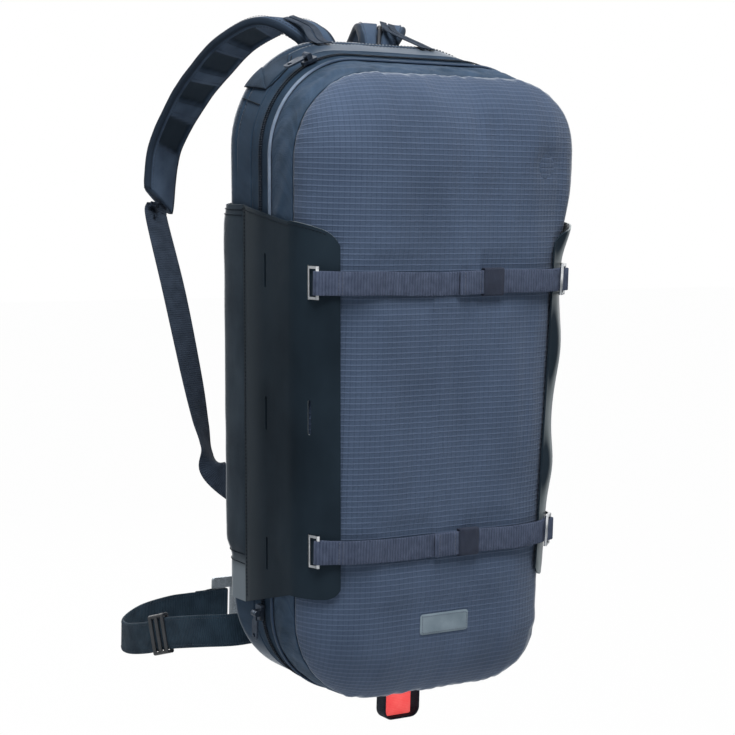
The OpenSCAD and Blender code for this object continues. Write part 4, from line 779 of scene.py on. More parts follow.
for side, word in sides:
    s = np.linspace(0, 1, 33)
    skirt, tube = np.linspace(wing_feet[0], -181, 8), np.linspace(-177, wing_tops[0], 70)
    height = np.concatenate([skirt, [closed_z], tube])
    round_out = 5.5 * np.sin(np.pi * s) ** 0.7
    taper = 0.12 + 0.88 * smooth(-178, -160, height) * (0.55 + 0.45 * smooth(wing_tops[0], 118, height))
    soft = np.array([[(*sleeve_point(q, 2), 0.6 * z) for q in s] for z in height])
    swell = round_out[None] * taper[:, None] + 0.5 * ripple(soft, 17, 5.0 * side) * np.sin(np.pi * s)[None]
    swell -= 0.35 * np.exp(-((height - closed_z) / 2.0) ** 2)[:, None]
    skins = [sleeve_skin(s, height, 0.3 + wall + swell, side) for wall in (0.0, 1.5)]
    sleeve = shell_piece("sleeve_cloth_" + word, skins[1], skins[0], sleeve_cloth)
    # The skirt mark places the painted highlight on the lower sleeve.
    mark(sleeve, "skirt", np.tile(np.repeat(smooth(-172, -190, height), len(s)), 2))
    settle(sleeve, "pack", "sleeve_fabric", "airbag_cover_" + word)
    rows = [int(np.argmin(abs(height - z))) for z in (-183, -173, 127, 131)]
    cross = [skins[1][i, 1:-1] + 0.25 * (skins[1][i, 1:-1] - skins[0][i, 1:-1]) for i in rows]
    stitches("sleeve_stitches_" + word, cross, dark_thread, "sleeve_fabric", pitch=2.2, length=2.2, thick=0.9)

# Airbags. Each is folded in five lengthwise pleats of bright nylon and lies flat in its sleeve on the side
# wall, over the port that fills it.
airbag_cloth = cloth("airbag_nylon", "#c4401f", "#e8622f", 1.4, 30, rough=0.5)
for side, word in sides:
    s = np.linspace(0.12, 0.88, 41)
    height = np.linspace(-160, 118, 40)
    rise = 5.5 * np.sin(np.pi * s) ** 0.7 - 0.5 - 1.2 * (0.5 + 0.5 * np.cos(2 * np.pi * (s - 0.12) / 0.152))
    end = np.sqrt(np.clip(1 - ((height + 21) / 139.5) ** 8, 0, 1))
    skins = [sleeve_skin(s, height, 0.6 + np.maximum(0.2, np.outer(end, top)), side)
             for top in (rise * 0, rise)]
    bag = shell_piece("folded_airbag_" + word, skins[1], skins[0], airbag_cloth)
    settle(bag, "pack", "airbag_nylon", "airbag_" + word)


# Zip sliders and pulls. Cast zinc with a dark gunmetal finish. Each
# slider has two ears and a pin, and a flat drilled pull hangs on the pin.
def hard(name, dark, light, rough, worn, stain, grain, share, bump, depth, metallic, stretch):
    """Hard surface with faint stains and a finer grain, drawn out along X and rougher where it is darker."""
    made, tree, shader = blank(name)
    place = tree.nodes.new("ShaderNodeTexCoord").outputs["Object"]
    blot = placed(tree, fading, place, Size=stain / 1000)["Fade"]
    along = feed(tree.nodes.new("ShaderNodeMapping"), Vector=place, Scale=(stretch, 1, 1))
    fine = placed(tree, fading, along.outputs[0], Size=grain / 1000)["Fade"]
    tone = over_of(tree, share, fine, blot)
    feed(shader, Base_Color=blend_of(tree, tone, dark, light), Metallic=metallic, Coat_Weight=0.0,
         Roughness=ramp_of(tree, tone, 0, 1, rough + 0.1, rough - worn),
         Normal=relief_of(tree, fine, bump, depth))
    return made


def metal(name, dark, light, rough, brush=0.6, bump=0.08):
    """Metal with fine brushing and a tone that changes at random."""
    return hard(name, dark, light, rough, worn=0.06, stain=6, grain=0.7, share=brush, bump=bump, depth=0.2,
                metallic=1.0, stretch=0.35)


def dress(finish, softness, *names):
    """Gives solids that keep their shape a finish, merged and with broken edges."""
    for name in names:
        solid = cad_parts[name]
        for slot in solid.material_slots:
            slot.material = finish
        solid.modifiers.new("merge", "WELD").merge_threshold = 0.00001
        edge = solid.modifiers.new("broken_edge", "BEVEL")
        edge.width, edge.segments, edge.harden_normals = softness / 1000, 3, True
        edge.limit_method, edge.angle_limit = "ANGLE", math.radians(35)


gunmetal = metal("gunmetal", "#2a323e", "#525d6c", 0.42)
dress(gunmetal, 0.5, "top_zip_slider", "bottom_zip_slider", "top_zip_puller", "bottom_zip_puller")

# Corner tabs. At each upper rear corner a strip of body cloth is folded over beside the zip and its end is
# turned down as a triangle. It gives the fingers a hold while the slider is drawn round the corner.
tab_cloth = cloth("tab_cloth", "#202c39", "#354557", 1.4, 20)


def corner_at(k, degrees, y, off):
    """Point off the pack's round corner k at an angle and a depth."""
    centre, r, _, _ = pack_corners(y)[k]
    drawn_in = edge_r * (1 - math.sqrt(1 - min(1, max(0, (y - rear_y + edge_r) / edge_r)) ** 2))
    a = math.radians(degrees if k == 3 else 180 - degrees)
    out = r - drawn_in + off
    return centre[0] + out * math.cos(a), y, centre[1] + out * math.sin(a)


strip = ((136, -37), (144.5, -63), (128, -66), (119, -45))
triangle = ((148.5, -27), (134.5, -36), (145, -64), (145, -64))
below = [(148, -29), (147, -40), (146, -52), (144.8, -62), (141, -66), (135, -68), (128, -67), (123, -60),
         (119, -52)]
for k, word in ((3, "left"), (2, "right")):
    for name, spots, low, high in (("strip", strip, 0.3, 1.4), ("fold", triangle, 1.5, 2.5)):
        a, b, c, d = np.array(spots, float)
        skins = [[], []]
        for u in np.linspace(0, 1, 17):
            for skin, off in zip(skins, (low, high)):
                line = []
                for v in np.linspace(0, 1, 17):
                    q = (1 - u) * ((1 - v) * a + v * b) + u * ((1 - v) * d + v * c)
                    puff = 0.7 * (16 * u * (1 - u) * v * (1 - v)) ** 0.5 if off == high else 0
                    line.append(corner_at(k, *q, off + puff))
                skin.append(line)
        tab = shell_piece("corner_%s_%s" % (name, word), skins[1], skins[0], tab_cloth)
        settle(tab, "pack", "body_fabric", *["corner_tabs"] * (word == "left" and name == "strip"))
# Partly real seams, partly painted shadow: the close, thick near-black stitches draw a dark line round the
# strip and the fold.
for k, word in ((3, "left"), (2, "right")):
    across_side = [corner_at(k, 154.5, y, 0.4) for y in np.linspace(-34, -64, 12)]
    seams = [across_side, [corner_at(k, t, y, 0.6) for t, y in below]]
    stitches("corner_seams_and_painted_shade_" + word, seams, dark_thread, "body_fabric", pitch=1.3, length=2.2, thick=1.1)

# Compression straps. Grey-violet webbing is sewn round a bar of the left hook, crosses the front, loops
# through the right ladder buckle and comes back over itself to a folded, stitched hem.
def tape_section(width, thick):
    """Outline of a flat tape with round edges: across and through it."""
    flat = width / 2 - thick / 2
    turn = np.radians([-90, -45, 0, 45, 90])
    right = [(flat + thick / 2 * math.cos(a), thick / 2 * math.sin(a)) for a in turn]
    top = [(x, thick / 2) for x in (flat * 0.5, 0, -flat * 0.5)]
    return np.array(right + top + [(-x, -y) for x, y in right] + [(-x, -y) for x, y in top])


def frame_at(path, across):
    """Directions along a path, across it and off it."""
    ahead = np.gradient(path, axis=0)
    ahead /= np.linalg.norm(ahead, axis=1, keepdims=True)
    wide = across - ahead * np.sum(across * ahead, axis=1, keepdims=True)
    wide /= np.linalg.norm(wide, axis=1, keepdims=True)
    return ahead, wide, np.cross(ahead, wide)


def sweep(path, across, section):
    """Rows of a section carried along a path, with across, one or one for each point, as its width."""
    path = np.asarray(path, float)
    _, wide, up = frame_at(path, np.broadcast_to(np.asarray(across, float), path.shape))
    return path[:, None] + wide[:, None] * section[:, :1] + up[:, None] * section[:, 1:]


def even(path, step):
    """The same path with evenly spaced points."""
    path = np.asarray(path, float)
    run = lengths(path, 0)
    at = np.linspace(0, run[-1], max(2, int(run[-1] / step)))
    return np.stack([np.interp(at, run, c) for c in path.T], 1)


strap_cloth = cloth("grey_webbing", "#3a4358", "#646f88", 1.1, 7, weave=0.35, rough=0.74, ribs=2.7,
                    rib_depth=0.4, bump=0.8)
strap_thread = cloth("grey_thread", "#4c5160", "#777d8a", 0.7, 8, weave=0.5)
bar_turn = slot_turn + 9  # where the bars stand on the rim, in degrees
web_in, layer, loop_r = 5.45, 1.8, 3.25  # off the rim, from layer to layer, and the turn round the bar
over, bar_out = web_in + layer, web_in + 2 * loop_r
flat_off = 0.35 + 1 + 0.3 + 0.75  # off the front's face
tail_off = flat_off + layer
tail_y = front_y - tail_off
straps = tuple(zip(strap_heights, (4, -14), ("upper", "lower")))  # height, where the tail ends, name


def rim_run(start, stop, knots, steps):
    """Points round the rim from one angle to another, off it as the knots say."""
    return [rim_point(a, np.interp(a, *zip(*knots))) for a in np.linspace(start, stop, steps)]


bar = rim_point(bar_turn, web_in + loop_r)
nose = rim_point(bar_turn, 1) - rim_point(bar_turn, 0)
way = np.array([nose[1], -nose[0]])
turn_over = [bar - loop_r * (nose * math.cos(a) + way * math.sin(a)) for a in np.linspace(0, math.pi, 13)]
sewn = rim_run(bar_turn + 19, bar_turn + 1, [(0, web_in), (90, web_in)], 10)
off_bar = [(bar_turn, bar_out), (bar_turn + 12, over)]
leave = rim_run(bar_turn + 1, 90, off_bar + [(bar_turn + 24, over), (90, flat_off)], 30)
arrive = rim_run(90, bar_turn + 1, [(bar_turn, web_in), (flap_turn + 4, web_in), (90, flat_off)], 30)
tail = rim_run(bar_turn + 1, 90, off_bar + [(flap_turn + 4, over), (90, tail_off)], 30)
for z, tail_x, word in straps:
    half = wall_x(z)
    hem = [(tail_x - 0.9 * math.sin(a), tail_y - 0.85 + 0.85 * math.cos(a))
           for a in np.linspace(0, math.pi, 9)]
    line = [(-(half + x), y) for x, y in sewn + turn_over + leave]
    line += [(half + x, y) for x, y in arrive + turn_over + tail] + hem + [(tail_x + 23, tail_y - 1.7)]
    line = even(line, 1.5)
    path = np.stack([line[:, 0], line[:, 1], np.full(len(line), z)], 1)
    middle = smooth(95, 60, abs(path[:, 0]))
    path[:, 2] += middle * (0.7 * np.sin(path[:, 0] / 23 + z) - 0.8 * np.cos(path[:, 0] / 60))
    strap = grid_piece(word + "_strap_webbing", sweep(path, (0, 0, 1), tape_section(20, 1.5)), strap_cloth)
    settle(strap, "pack", "webbing", word + "_strap")
    sewn_down = rim_run(bar_turn + 16, bar_turn + 19, [(0, over), (90, over)], 2)
    ends = [(-(half + x), y - 1.0) for x, y in sewn_down]
    ends += [(tail_x + at, tail_y - 2.5) for at in (3, 19)]
    lines = [[(x, y, z + h) for h in np.linspace(-8, 8, 12)] for x, y in ends]
    stitches(word + "_strap_stitches", lines, strap_thread, "webbing", pitch=2.4, length=1.8, thick=0.7)

# Strap hooks and ladder buckles. Bent from steel plate with round bars, nickel plated and polished. The
# plate sits behind the wing and its neck comes out through the slot.
nickel = metal("polished_nickel", "#a9adb2", "#e4e6e8", 0.2, brush=0.35, bump=0.03)
dress(nickel, 0.35, "strap_hooks", "strap_buckles")

# Strap keepers. A loop of dark knitted elastic goes round both layers of each strap, beside the hem, and
# slides along it.
elastic = cloth("dark_elastic", "#272c3a", "#444b5d", 1.0, 10, weave=0.5, ribs=1.3, rib_depth=0.45,
                bump=0.6)
for z, tail_x, word in straps:
    x, y = tail_x + 23 + 10.5 + 0.6, front_y - 0.35 - 1 - 1.95
    skins = []
    for w, h, r in ((3.95, 21.0, 0.6), (5.9, 24.0, 1.8)):
        ring = []
        for k in range(4):
            cy, cz = (w / 2 - r) * (1, -1, -1, 1)[k], (h / 2 - r) * (1, 1, -1, -1)[k]
            turn = np.radians(90 * k + np.linspace(0, 90, 7))
            ring += [(y + cy + r * math.cos(a), z + cz + r * math.sin(a)) for a in turn]
        skins.append(np.array(ring))
    rows = []
    for share, at in [(0, t) for t in (-10.2, 10.2)] + [(1, t) for t in (10.5, 10, 6, 2, -2, -6, -10, -10.5)]:
        pull = 1 - 0.35 * max(0, (abs(at) - 10) / 0.5) if share else 0
        ring = skins[0] * (1 - pull) + skins[1] * pull
        rows.append([(x + at, *q) for q in ring])
    keeper = grid_piece(word + "_keeper_elastic", rows, elastic, loop=True, crisp=50)
    settle(keeper, word + "_keeper", "keeper_elastic", word + "_keeper")

# Label. A small patch of grey coated cloth with round corners, low on the front. It is sewn down flat all
# round its edge with grey thread.
label_cloth = cloth("bare_grey_label", "#788791", "#909faa", 1.2, 16, weave=0.2, rough=0.55)


def patch_grid(w, h, r, lift, n=15, m=29):
    """Grid over a flat patch with round corners, lifted towards the front by lift at its middle."""
    grid = np.zeros((n, m, 3))
    for i, v in enumerate(np.linspace(-1, 1, n)):
        for j, u in enumerate(np.linspace(-1, 1, m)):
            px, pz = u * w / 2, v * h / 2
            ex, ez = abs(px) - (w / 2 - r), abs(pz) - (h / 2 - r)
            if ex > 0 and ez > 0:
                far = max(ex, ez) / math.hypot(ex, ez)
                px, pz = math.copysign(w / 2 - r + ex * far, px), math.copysign(h / 2 - r + ez * far, pz)
            rise = (1 - max(abs(u), abs(v)) ** 10)
            grid[i, j] = px, -lift * (0.45 + 0.55 * rise), pz
    return grid


spot = np.array([0, front_y - 0.25, label_z])
front, behind = (spot + patch_grid(50, 18, 2.5, lift) for lift in (1.15, 0.0))
settle(shell_piece("bare_label", front, behind, label_cloth), "pack", "label", "label_patch")
along = np.linspace(-23, 23, 20)
edge = [spot + (x, -1.25, z) for x, z in [(t, 7.2) for t in along] + [(23.2, t) for t in (6, 0, -6)]
        + [(t, -7.2) for t in along[::-1]] + [(-23.2, t) for t in (-6, 0, 6, 7.2)]]
stitches("label_stitches", [edge], strap_thread, "label", pitch=2.2, length=1.6, thick=0.5)

# Bottom loop. A lash loop of dark webbing is sewn under the base, with a square of fluorescent red webbing
# stitched inside it so that it is found quickly.
loop_cloth = cloth("loop_webbing", "#20242c", "#3a404b", 1.1, 8, weave=0.35, ribs=1.9, rib_depth=0.35)
loop_y = -111
half = [(-24, -292.0), (-19.5, -292.6), (-18, -296)] + [
    (-10 + 8 * math.cos(a), -313.3 + 8 * math.sin(a)) for a in np.radians(np.linspace(180, 270, 11))]
line = even(half + [(-x, z) for x, z in half[::-1]], 1.2)
path = np.stack([line[:, 0], np.full(len(line), float(loop_y)), line[:, 1]], 1)
rows = sweep(path, (0, 1, 0), tape_section(14, 2))
settle(grid_piece("bottom_loop_webbing", rows, loop_cloth), "pack", "loop_webbing", "bottom_loop")
red_cloth = cloth("red_webbing", "#f24a4c", "#ff6a66", 1.2, 9, weave=0.35, ribs=1.6, rib_depth=0.25)
# Painted light: the patch glows with its own colour, to brighten it in the shade under the pack.
painted_glow = red_cloth.node_tree.nodes["Principled BSDF"]
feed(painted_glow, Emission_Color=painted_glow.inputs["Base Color"].links[0].from_socket, Emission_Strength=0.7)
spot, patch = np.array([0, loop_y, base_z - 18]), patch_grid(26, 22, 1.5, 1.3)
front, behind = spot + patch, spot - patch * (-1, 1, -1)
settle(shell_piece("red_loop_patch", front, behind, red_cloth), "pack", "red_patch", "bottom_loop_patch")


# Shoulder straps. Each is a curved foam pad in dark blue cloth, bound round its edge, with four slanted
# windows pressed into the side that lies on the wearer. The right one has a groove for the release cable.
def curve(points, steps):
    """Smooth path through points."""
    p = np.asarray(points, float)
    line = []
    for i in range(len(p) - 1):
        a, b, c, d = p[max(i - 1, 0)], p[i], p[i + 1], p[min(i + 2, len(p) - 1)]
        for t in np.arange(steps) / steps:
            bent = (2 * a - 5 * b + 4 * c - d) * t ** 2 / 2 + (3 * b - a - 3 * c + d) * t ** 3 / 2
            line.append(b + (c - a) * t / 2 + bent)
    return np.array(line + [p[-1]])


pad_cloth = cloth("dark_blue_pad_cloth", "#38465a", "#56687f", 1.6, 26, rough=0.74, bump=0.5, gloss=0.06)
# Painted shade: the pressed windows and the bound edge are painted darker than the pad.
tint(pad_cloth, "painted_shade_in_windows", "#2a3744")
tint(pad_cloth, "painted_shade_on_binding", "#2a3543")
pad_points = [(-24, -6.2, 224), (-24, -6.2, 242), (-27, -4.5, 264), (-37, 8, 287), (-56, 36, 297),
              (-72, 79, 281), (-77.5, 120, 256), (-82, 157, 227), (-91, 188, 180), (-98, 186, 130)]
pad_sides = [(1, 0, 0), (1, 0, 0), (1, 0, 0), (1, 0.02, 0), (1, 0.06, 0), (1, 0.12, 0), (1, 0.2, 0),
             (0.95, 0.32, 0), (0.9, 0.44, 0), (0.88, 0.48, 0)]
steps = 16
pad_path, pad_across = curve(pad_points, steps), curve(pad_sides, steps)
pad_wide = curve([(w,) for w in (30, 30, 33, 40.5, 51, 51, 51, 51, 49.5, 46)], steps)[:, 0]
half = pad_wide[:, None] / 2
thick = 5.5  # half the pad's thickness
share = np.arange(len(pad_path)) / steps
window_starts, window_long = (4.333, 5.333, 6.333, 7.333), 0.66
window_half, window_lean = 18.5, 5  # half a window's width, and how far that half leans along the pad
groove_edges = [-0.14, -0.11, 0.11, 0.14]
spot = np.sort(np.concatenate([np.sin(np.linspace(-math.pi / 2, math.pi / 2, 41)), groove_edges]))
rise = (1 - np.abs(spot) ** 3.333).clip(0) ** 0.3
section = np.concatenate([np.stack([spot, rise], 1), np.stack([spot, -rise], 1)[-2:0:-1]])
face = section[None, :, 1]
inner = face > 0
sx = section[None, :, 0] * half
for side, word in sides:
    path = pad_path * (-side, 1, 1)
    across = pad_across * (1, -side, -side)
    ahead, wide, up = frame_at(path, across)
    along = share[:, None] + side * window_lean * (sx / window_half) / 46
    window = sum(smooth(s, s + 0.07, along) * smooth(s + window_long, s + window_long - 0.07, along)
                 for s in window_starts)
    window = window * smooth(half - 6, half - 8, abs(sx)) * inner
    bound = np.exp(-((abs(sx) - (half - 3.4)) / 0.9) ** 2)
    up_by = thick * face - 3.0 * window - np.sign(face) * 0.8 * bound
    if side > 0:
        up_by += 5.2 * smooth(3.35, 2.75, abs(sx)) * ~inner
    slant = -side * smooth(8.2, 9, share)
    skew = 10 * (sx / 23) * slant[:, None]
    rows = (path[:, None] + wide[:, None] * sx[:, :, None] + up[:, None] * up_by[:, :, None]
            + ahead[:, None] * skew[:, :, None])
    rows += up[:, None] * (0.35 * ripple(rows, 15, 2.0) * (abs(face) > 0.3))[:, :, None]
    pad = grid_piece("shoulder_pad_" + word, rows, pad_cloth)
    # These marks place the painted shade in the windows and on the bound edge.
    mark(pad, "painted_shade_in_windows", window)
    mark(pad, "painted_shade_on_binding", smooth(half - 4.2, half - 3.2, abs(sx)))
    settle(pad, "pack", "strap_pad", "shoulder_strap_" + word)
    lines = [[path[i] + wide[i] * edge * (pad_wide[i] / 2 - 4.9) + up[i] * way * 5.1
              + ahead[i] * 7 * edge * slant[i] for i in range(2, len(path) - 2, 2)]
             for edge in (-1, 1) for way in (-1, 1)]
    for i in [int((s + edge) * steps) for s in window_starts for edge in (-0.03, window_long + 0.03)]:
        lines.append([path[i] + wide[i] * x + up[i] * 5.35 - ahead[i] * side * window_lean * x / window_half
                      for x in np.linspace(-18, 18, 9)])
    stitches("pad_stitches_" + word, lines, navy_thread, "strap_pad", pitch=3.2, length=2.3, thick=0.65)

# Strap webbing. A dark slate tape comes out of the end of each pad, hangs free, turns once on itself and is
# sewn to the pack beside the back panel.
dark_web = cloth("slate_webbing", "#252e3a", "#404b5b", 1.1, 10, ribs=2.0, rib_depth=0.35, bump=0.6)
ahead = frame_at(pad_path, pad_across)[0][-1]
start, drop = pad_path[-1] + ahead * 1.8, -130  # the pad's end, and the height where the tape is sewn on
hang = ((-7, -50, 175), (-11, -97, 98), (-13, -120, 58), (-15, -136, 36), (-16, -156, 17))
web_points = [start, start + ahead * 8, start + ahead * 16 - (2, 4, 0)]
web_points += [(start[0] + x, start[1] + y, drop + z) for x, y, z in hang]
web_points += [(-106, 0, drop + 2), (-95, -9.9, drop)]
web_sides = [(0.88, 0.48, 0), (0.94, 0.32, 0), (0.99, 0.15, 0), (1, 0.05, 0), (0.97, 0.26, 0),
             (0.85, 0.55, 0.05), (0.55, 0.8, 0.25), (0.25, 0.5, 0.8), (0, 0, 1), (0, 0, 1)]
for side, word in sides:
    path, across = curve(web_points, 14) * (-side, 1, 1), curve(web_sides, 14) * (-side, 1, 1)
    web = grid_piece("strap_tape_" + word, sweep(path, across, tape_section(25, 1.5)), dark_web)
    settle(web, "pack", "webbing", "strap_webbing_" + word)

# Load lifters. Two narrow tapes side by side run from the top of each pad to the pack's top edge and hold
# the pad against the shoulders.
def top_at(x, y):
    """Height of the pack's top at x and a depth."""
    ring = pack_ring(y, 0, 60, 8, 60)
    ring = ring[ring[:, 2] > 150]
    ring = ring[np.argsort(ring[:, 0])]
    return float(np.interp(x, ring[:, 0], ring[:, 2]))


ahead, wide, up = frame_at(pad_path, pad_across)
i, j = 11 * steps // 3, 3 * steps
start = [pad_path[i] - wide[i] * 6 - up[i] * 7.9, pad_path[j] - wide[j] * 10 - up[j] * 12.5]
for side, word in sides:
    path = curve(start + [(-55, y, top_at(side * 55, y) + 2.1) for y in (-35, -49)], 10)
    across = np.tile((-1, 0, -0.1), (len(path), 1))
    _, apart, _ = frame_at(path, across)
    for k in (0, 1):
        line = (path + apart * 4.1 * (2 * k - 1)) * (-side, 1, 1)
        rows = sweep(line, across * (-side, 1, 1), tape_section(6.8, 1.2))
        tape = grid_piece("lifter_tape_%s_%d" % (word, k), rows, dark_web)
        settle(tape, "pack", "webbing", *["load_lifter_" + word] * (k == 0))

# Hip belt. A band of dark blue-grey webbing from each side of the lumbar pad, closed in front as it is worn.
# The left one runs through a plastic slide, is folded round the buckle's bar and sewn to itself.
belt_cloth = cloth("belt_webbing", "#1b2935", "#334655", 1.2, 14, ribs=2.2, rib_depth=0.3, bump=0.55)
belt_points = [(-62, -10.2, -251), (-76, -10.2, -252), (-90, -9.6, -252), (-110, 0, -255), (-128, 26, -260),
               (-137, 60, -268), (-140, 85, -275), (-143, 110, -284), (-144, 148, -293), (-132, 182.04, -296)]
bar_x, bar_y, bar_r, buckle_z = 1.4, 222, 3.3, -289  # the buckle's bar with the turn round it, and its height
left_end = [(-102, 203.24, -291)] + [(x, y, buckle_z) for x, y in ((-66, 215.7), (-44, 218.7), (-30, 218.7))]
fold = [(bar_x + bar_r * math.sin(a), bar_y - bar_r * math.cos(a), buckle_z)
        for a in np.linspace(0, math.pi, 13)]
sewn_end = ((-13, 225.3), (-16, 224.5), (-20, 222.4), (-23, bar_y), (-31, bar_y))
sewn_end = [(x, y, buckle_z) for x, y in sewn_end]
right_end = ((86, 216.5), (73, 221.4), (62, bar_y), (53, bar_y))
right_end = [(106, 207, -291)] + [(x, y, buckle_z) for x, y in right_end]
for side, word in sides:
    if side < 0:
        path = np.concatenate([curve(belt_points + left_end, 10), fold, sewn_end])
    else:
        path = curve((np.array(belt_points) * (-1, 1, 1)).tolist() + right_end, 10)
    across = np.tile((0, 0, 1.0), (len(path), 1))
    belt = grid_piece("hip_belt_tape_" + word, sweep(path, across, tape_section(30, 3)), belt_cloth)
    settle(belt, "pack", "belt_webbing", "hip_belt_" + word)
    _, _, up = frame_at(path, across)
    lines = [[path[i] + (0, 0, h) + up[i] * way * 1.6 for i in range(4, 128, 2)]
             for h in (-12.3, 12.3) for way in (-1, 1)]
    stitches("belt_stitches_" + word, lines, navy_thread, "belt_webbing", pitch=3.4, length=2.4, thick=0.6)


# Trigger and release cable. A moulded handle plugs into a socket on the right pad. Its black sheathed cable
# lies in the pad's groove, passes a grommet in the rear wall and ends at the lever of the inflation unit.
def plastic(name, dark, light, rough, grain=0.9):
    """Moulded plastic with a fine spark grain, slight tone changes and rubbed spots."""
    return hard(name, dark, light, rough, worn=0.1, stain=14, grain=grain, share=0.3, bump=0.12, depth=0.3,
                metallic=0.0, stretch=1)


def tube_section(radius, count=16):
    turn = np.linspace(0, 2 * math.pi, count, endpoint=False)
    return radius * np.stack([np.cos(turn), np.sin(turn)], 1)


dress(plastic("trigger_red", "#a3151f", "#d62a33", 0.38), 0.6, "trigger_handle")
black_plastic = plastic("black_plastic", "#121417", "#292d33", 0.46)
dress(black_plastic, 0.5, "trigger_socket", "cable_grommet")
sheath = plastic("cable_sheath", "#12161c", "#272d36", 0.55, grain=1.4)
unit_y = -47.7  # depth of the inflation unit
inside = [(39.4, unit_y, 110.3), (39.4, unit_y, 124.3), (32, -43.7, 143), (24, -33.7, 177), (24, -22, 193),
          (24, -11, 204), (24, -8, 215)]
path, across = pad_path * (-1, 1, 1), pad_across * (1, -1, -1)
_, _, up = frame_at(path, across)
groove = [path[i] - up[i] * 3.2 for i in [int(k * steps / 3) for k in range(1, 18, 2)]]
to_socket = [(82.776, 147.981, 253.775), (84.615, 162.465, 243.641), (86.323, 171.271, 234.232)]
rows = sweep(curve(inside + groove + to_socket, 8), (1, 0.1, 0.05), tube_section(2.0))
settle(grid_piece("release_cable", rows, sheath), "pack", "cable_sheath", "pull_cable")

# Back panel and lumbar pad. Foam pads under dark spacer mesh, sewn flat at the edge and full in the middle,
# with four air channels pressed across the back panel.
def swollen(name, w, h, r, thick, cap, finish, channels=()):
    """Padded panel on the rear wall: a rounded block, remeshed, blown up a little and pressed again."""
    low = -11.6  # just off the rear wall
    front = patch_grid(w, h, r, -1.0, 41, 31)
    behind = front.copy()
    crown = (front[:, :, 1] - 0.45) / 0.55
    front[:, :, 1] = low + thick * (0.35 + 0.65 * crown)
    behind[:, :, 1] = low
    raw = shell_piece(name, front, behind, finish)
    body = bmesh.new()
    body.from_mesh(raw.data)
    bmesh.ops.remove_doubles(body, verts=body.verts, dist=1e-5)
    body.to_mesh(raw.data)
    body.free()
    grid = raw.modifiers.new("remesh", "REMESH")
    grid.mode, grid.voxel_size = "VOXEL", 0.005
    mesh = built(raw)
    bpy.data.objects.remove(raw)
    pad = bpy.data.objects.new(name, mesh)
    scene.collection.objects.link(pad)
    rest = np.array([v.co for v in mesh.vertices])
    now = rest.copy()
    blow = pad.modifiers.new("blow", "CLOTH")
    blow.settings.use_pressure = True
    blow.settings.uniform_pressure_force = 4
    blow.settings.effector_weights.gravity = 0
    for step in range(1, 21):
        scene.frame_set(step)
    done = pad.evaluated_get(bpy.context.evaluated_depsgraph_get()).to_mesh()
    now = np.array([v.co for v in done.vertices])
    pad.modifiers.remove(blow)
    scene.frame_set(1)
    move = now - rest
    far = np.linalg.norm(move, axis=1, keepdims=True)
    now = rest + move * np.minimum(1, cap / 1000 / np.maximum(far, 1e-9))
    x, z = now[:, 0] * 1000, now[:, 2] * 1000
    outer = smooth(low + thick * 0.3, low + thick * 0.75, now[:, 1] * 1000)
    for at, half_w, half_h in channels:
        press = smooth(half_h + 3, half_h - 2, abs(z - at)) * smooth(half_w + 3, half_w - 5, abs(x))
        now[:, 1] -= 0.006 * press * outer
    edge = np.maximum(abs(x) - (w / 2 - 9), abs(z) - (h / 2 - 9))
    now[:, 1] -= 0.0012 * np.exp(-(edge / 1.6) ** 2) * outer
    now[:, 1] = np.maximum(now[:, 1], low / 1000)
    mesh.vertices.foreach_set("co", now.astype(np.float32).ravel())
    layer = mesh.uv_layers.new(name="cut")
    at = np.empty(len(mesh.loops), np.int32)
    mesh.loops.foreach_get("vertex_index", at)
    layer.uv.foreach_set("vector", now[at][:, [0, 2]].astype(np.float32).ravel())
    mesh.materials.clear()
    mesh.materials.append(finish)
    mesh.shade_smooth()
    rounder = pad.modifiers.new("rounder", "SUBSURF")
    rounder.levels = rounder.render_levels = 1
    return pad


mesh_cloth = cloth("spacer_mesh", "#191d23", "#363c46", 2.6, 40, weave=0.6, rough=0.8, bump=0.9)
air_channels = [(z, 55.5, 8) for z in (-136.8, -68.4, 68.4, 136.8)]  # height, half width, half height
back = swollen("back_pad", 176, 376, 38, 9.5, 6, mesh_cloth, air_channels)
settle(back, "pack", "back_mesh", "back_panel")
lumbar = swollen("lumbar_cushion", 106, 41, 14, 9, 6, mesh_cloth)
lumbar.data.transform(Matrix.Translation((0, 0, -0.218)))
settle(lumbar, "pack", "back_mesh", "lumbar_pad")

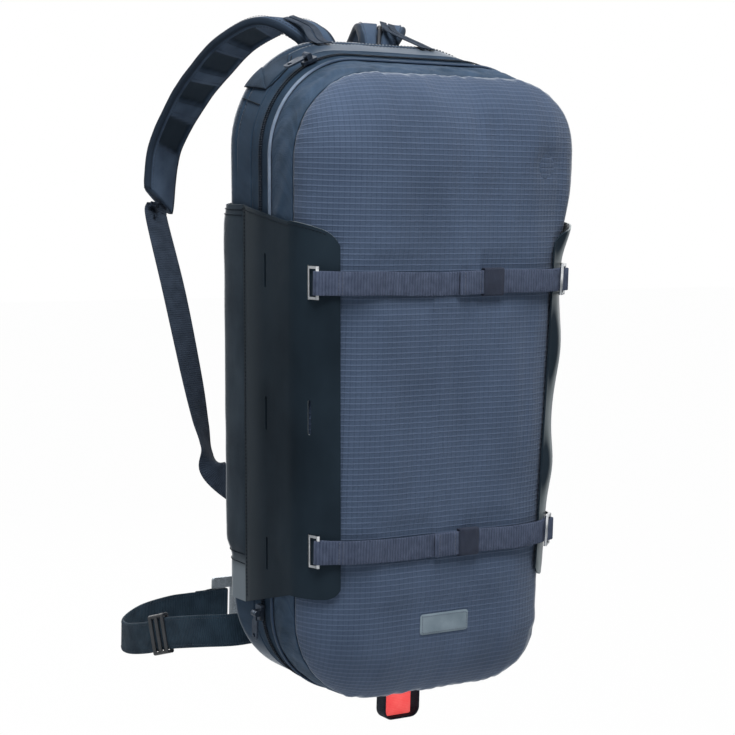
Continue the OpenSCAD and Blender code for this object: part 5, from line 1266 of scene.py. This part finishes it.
# Frame. A sheet of pale plastic and two flat alloy stays stiffen the pack. They lie inside it against the
# rear wall, behind the back panel.
dress(plastic("frame_sheet_plastic", "#c9cac5", "#e2e2dd", 0.5), 0.4, "frame_sheet")
dress(metal("stay_alloy", "#9a9da1", "#cfd2d5", 0.4), 0.4, "frame_stays")

# Inflation system. A steel gas cartridge in a plastic clamp screws into an alloy unit. The lever on its pin
# opens the valve, and two rubber hoses lead to a port in each side wall, under the airbags.
dress(metal("cartridge_steel", "#7d868c", "#b9c1c6", 0.34), 0.6, "gas_cartridge")
dress(black_plastic, 0.5, "cartridge_clamp")
unit_alloy = metal("unit_alloy", "#8f959c", "#ced3d8", 0.36)
dress(unit_alloy, 0.6, "inflation_unit", "airbag_port_left", "airbag_port_right")
dress(plastic("lever_red", "#8f1f1c", "#b9342d", 0.42), 0.4, "release_lever")
dress(metal("pin_steel", "#8d9093", "#c8cbce", 0.28), 0.2, "lever_pin")
rubber = plastic("hose_rubber", "#16181b", "#303338", 0.7, grain=1.2)
unit_x, spout_z = 60, 75.3  # the unit's middle, and the height of its two spouts
for side, word in sides:
    start, stop = unit_x + side * 20.3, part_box("hose_" + word)[0 if side < 0 else 1][0] * 1000
    share = np.linspace(0, 1, 41)
    straight = 12 / abs(stop - start)
    bend = smooth(straight, 1 - straight, share)
    path = np.stack([start + (stop - start) * share, unit_y + 3.7 * bend, np.full(41, spout_z)], 1)
    outside, bore = (sweep(path, (0, 0, 1), tube_section(radius, 24)) for radius in (6, 4.3))
    rows = np.concatenate([outside, bore[::-1]])
    hose = grid_piece("air_hose_" + word, rows, rubber, loop=True, crisp=50)
    settle(hose, "pack", "hose_rubber", "hose_" + word)

# Belt slide and buckle. The slide is black moulded plastic. The buckle is dark brushed alloy: a housing
# with a slotted plate on the left belt, a latching tongue on the right one and a round release button.
dress(black_plastic, 0.7, "belt_triglide")
buckle_alloy = metal("dark_alloy", "#60676e", "#9aa2a9", 0.34, brush=0.7)
dress(buckle_alloy, 0.8, "belt_buckle_frame")
dress(buckle_alloy, 0.4, "belt_buckle_tongue")
dress(plastic("button_grey", "#33373d", "#4d525a", 0.4), 0.4, "belt_buckle_button")
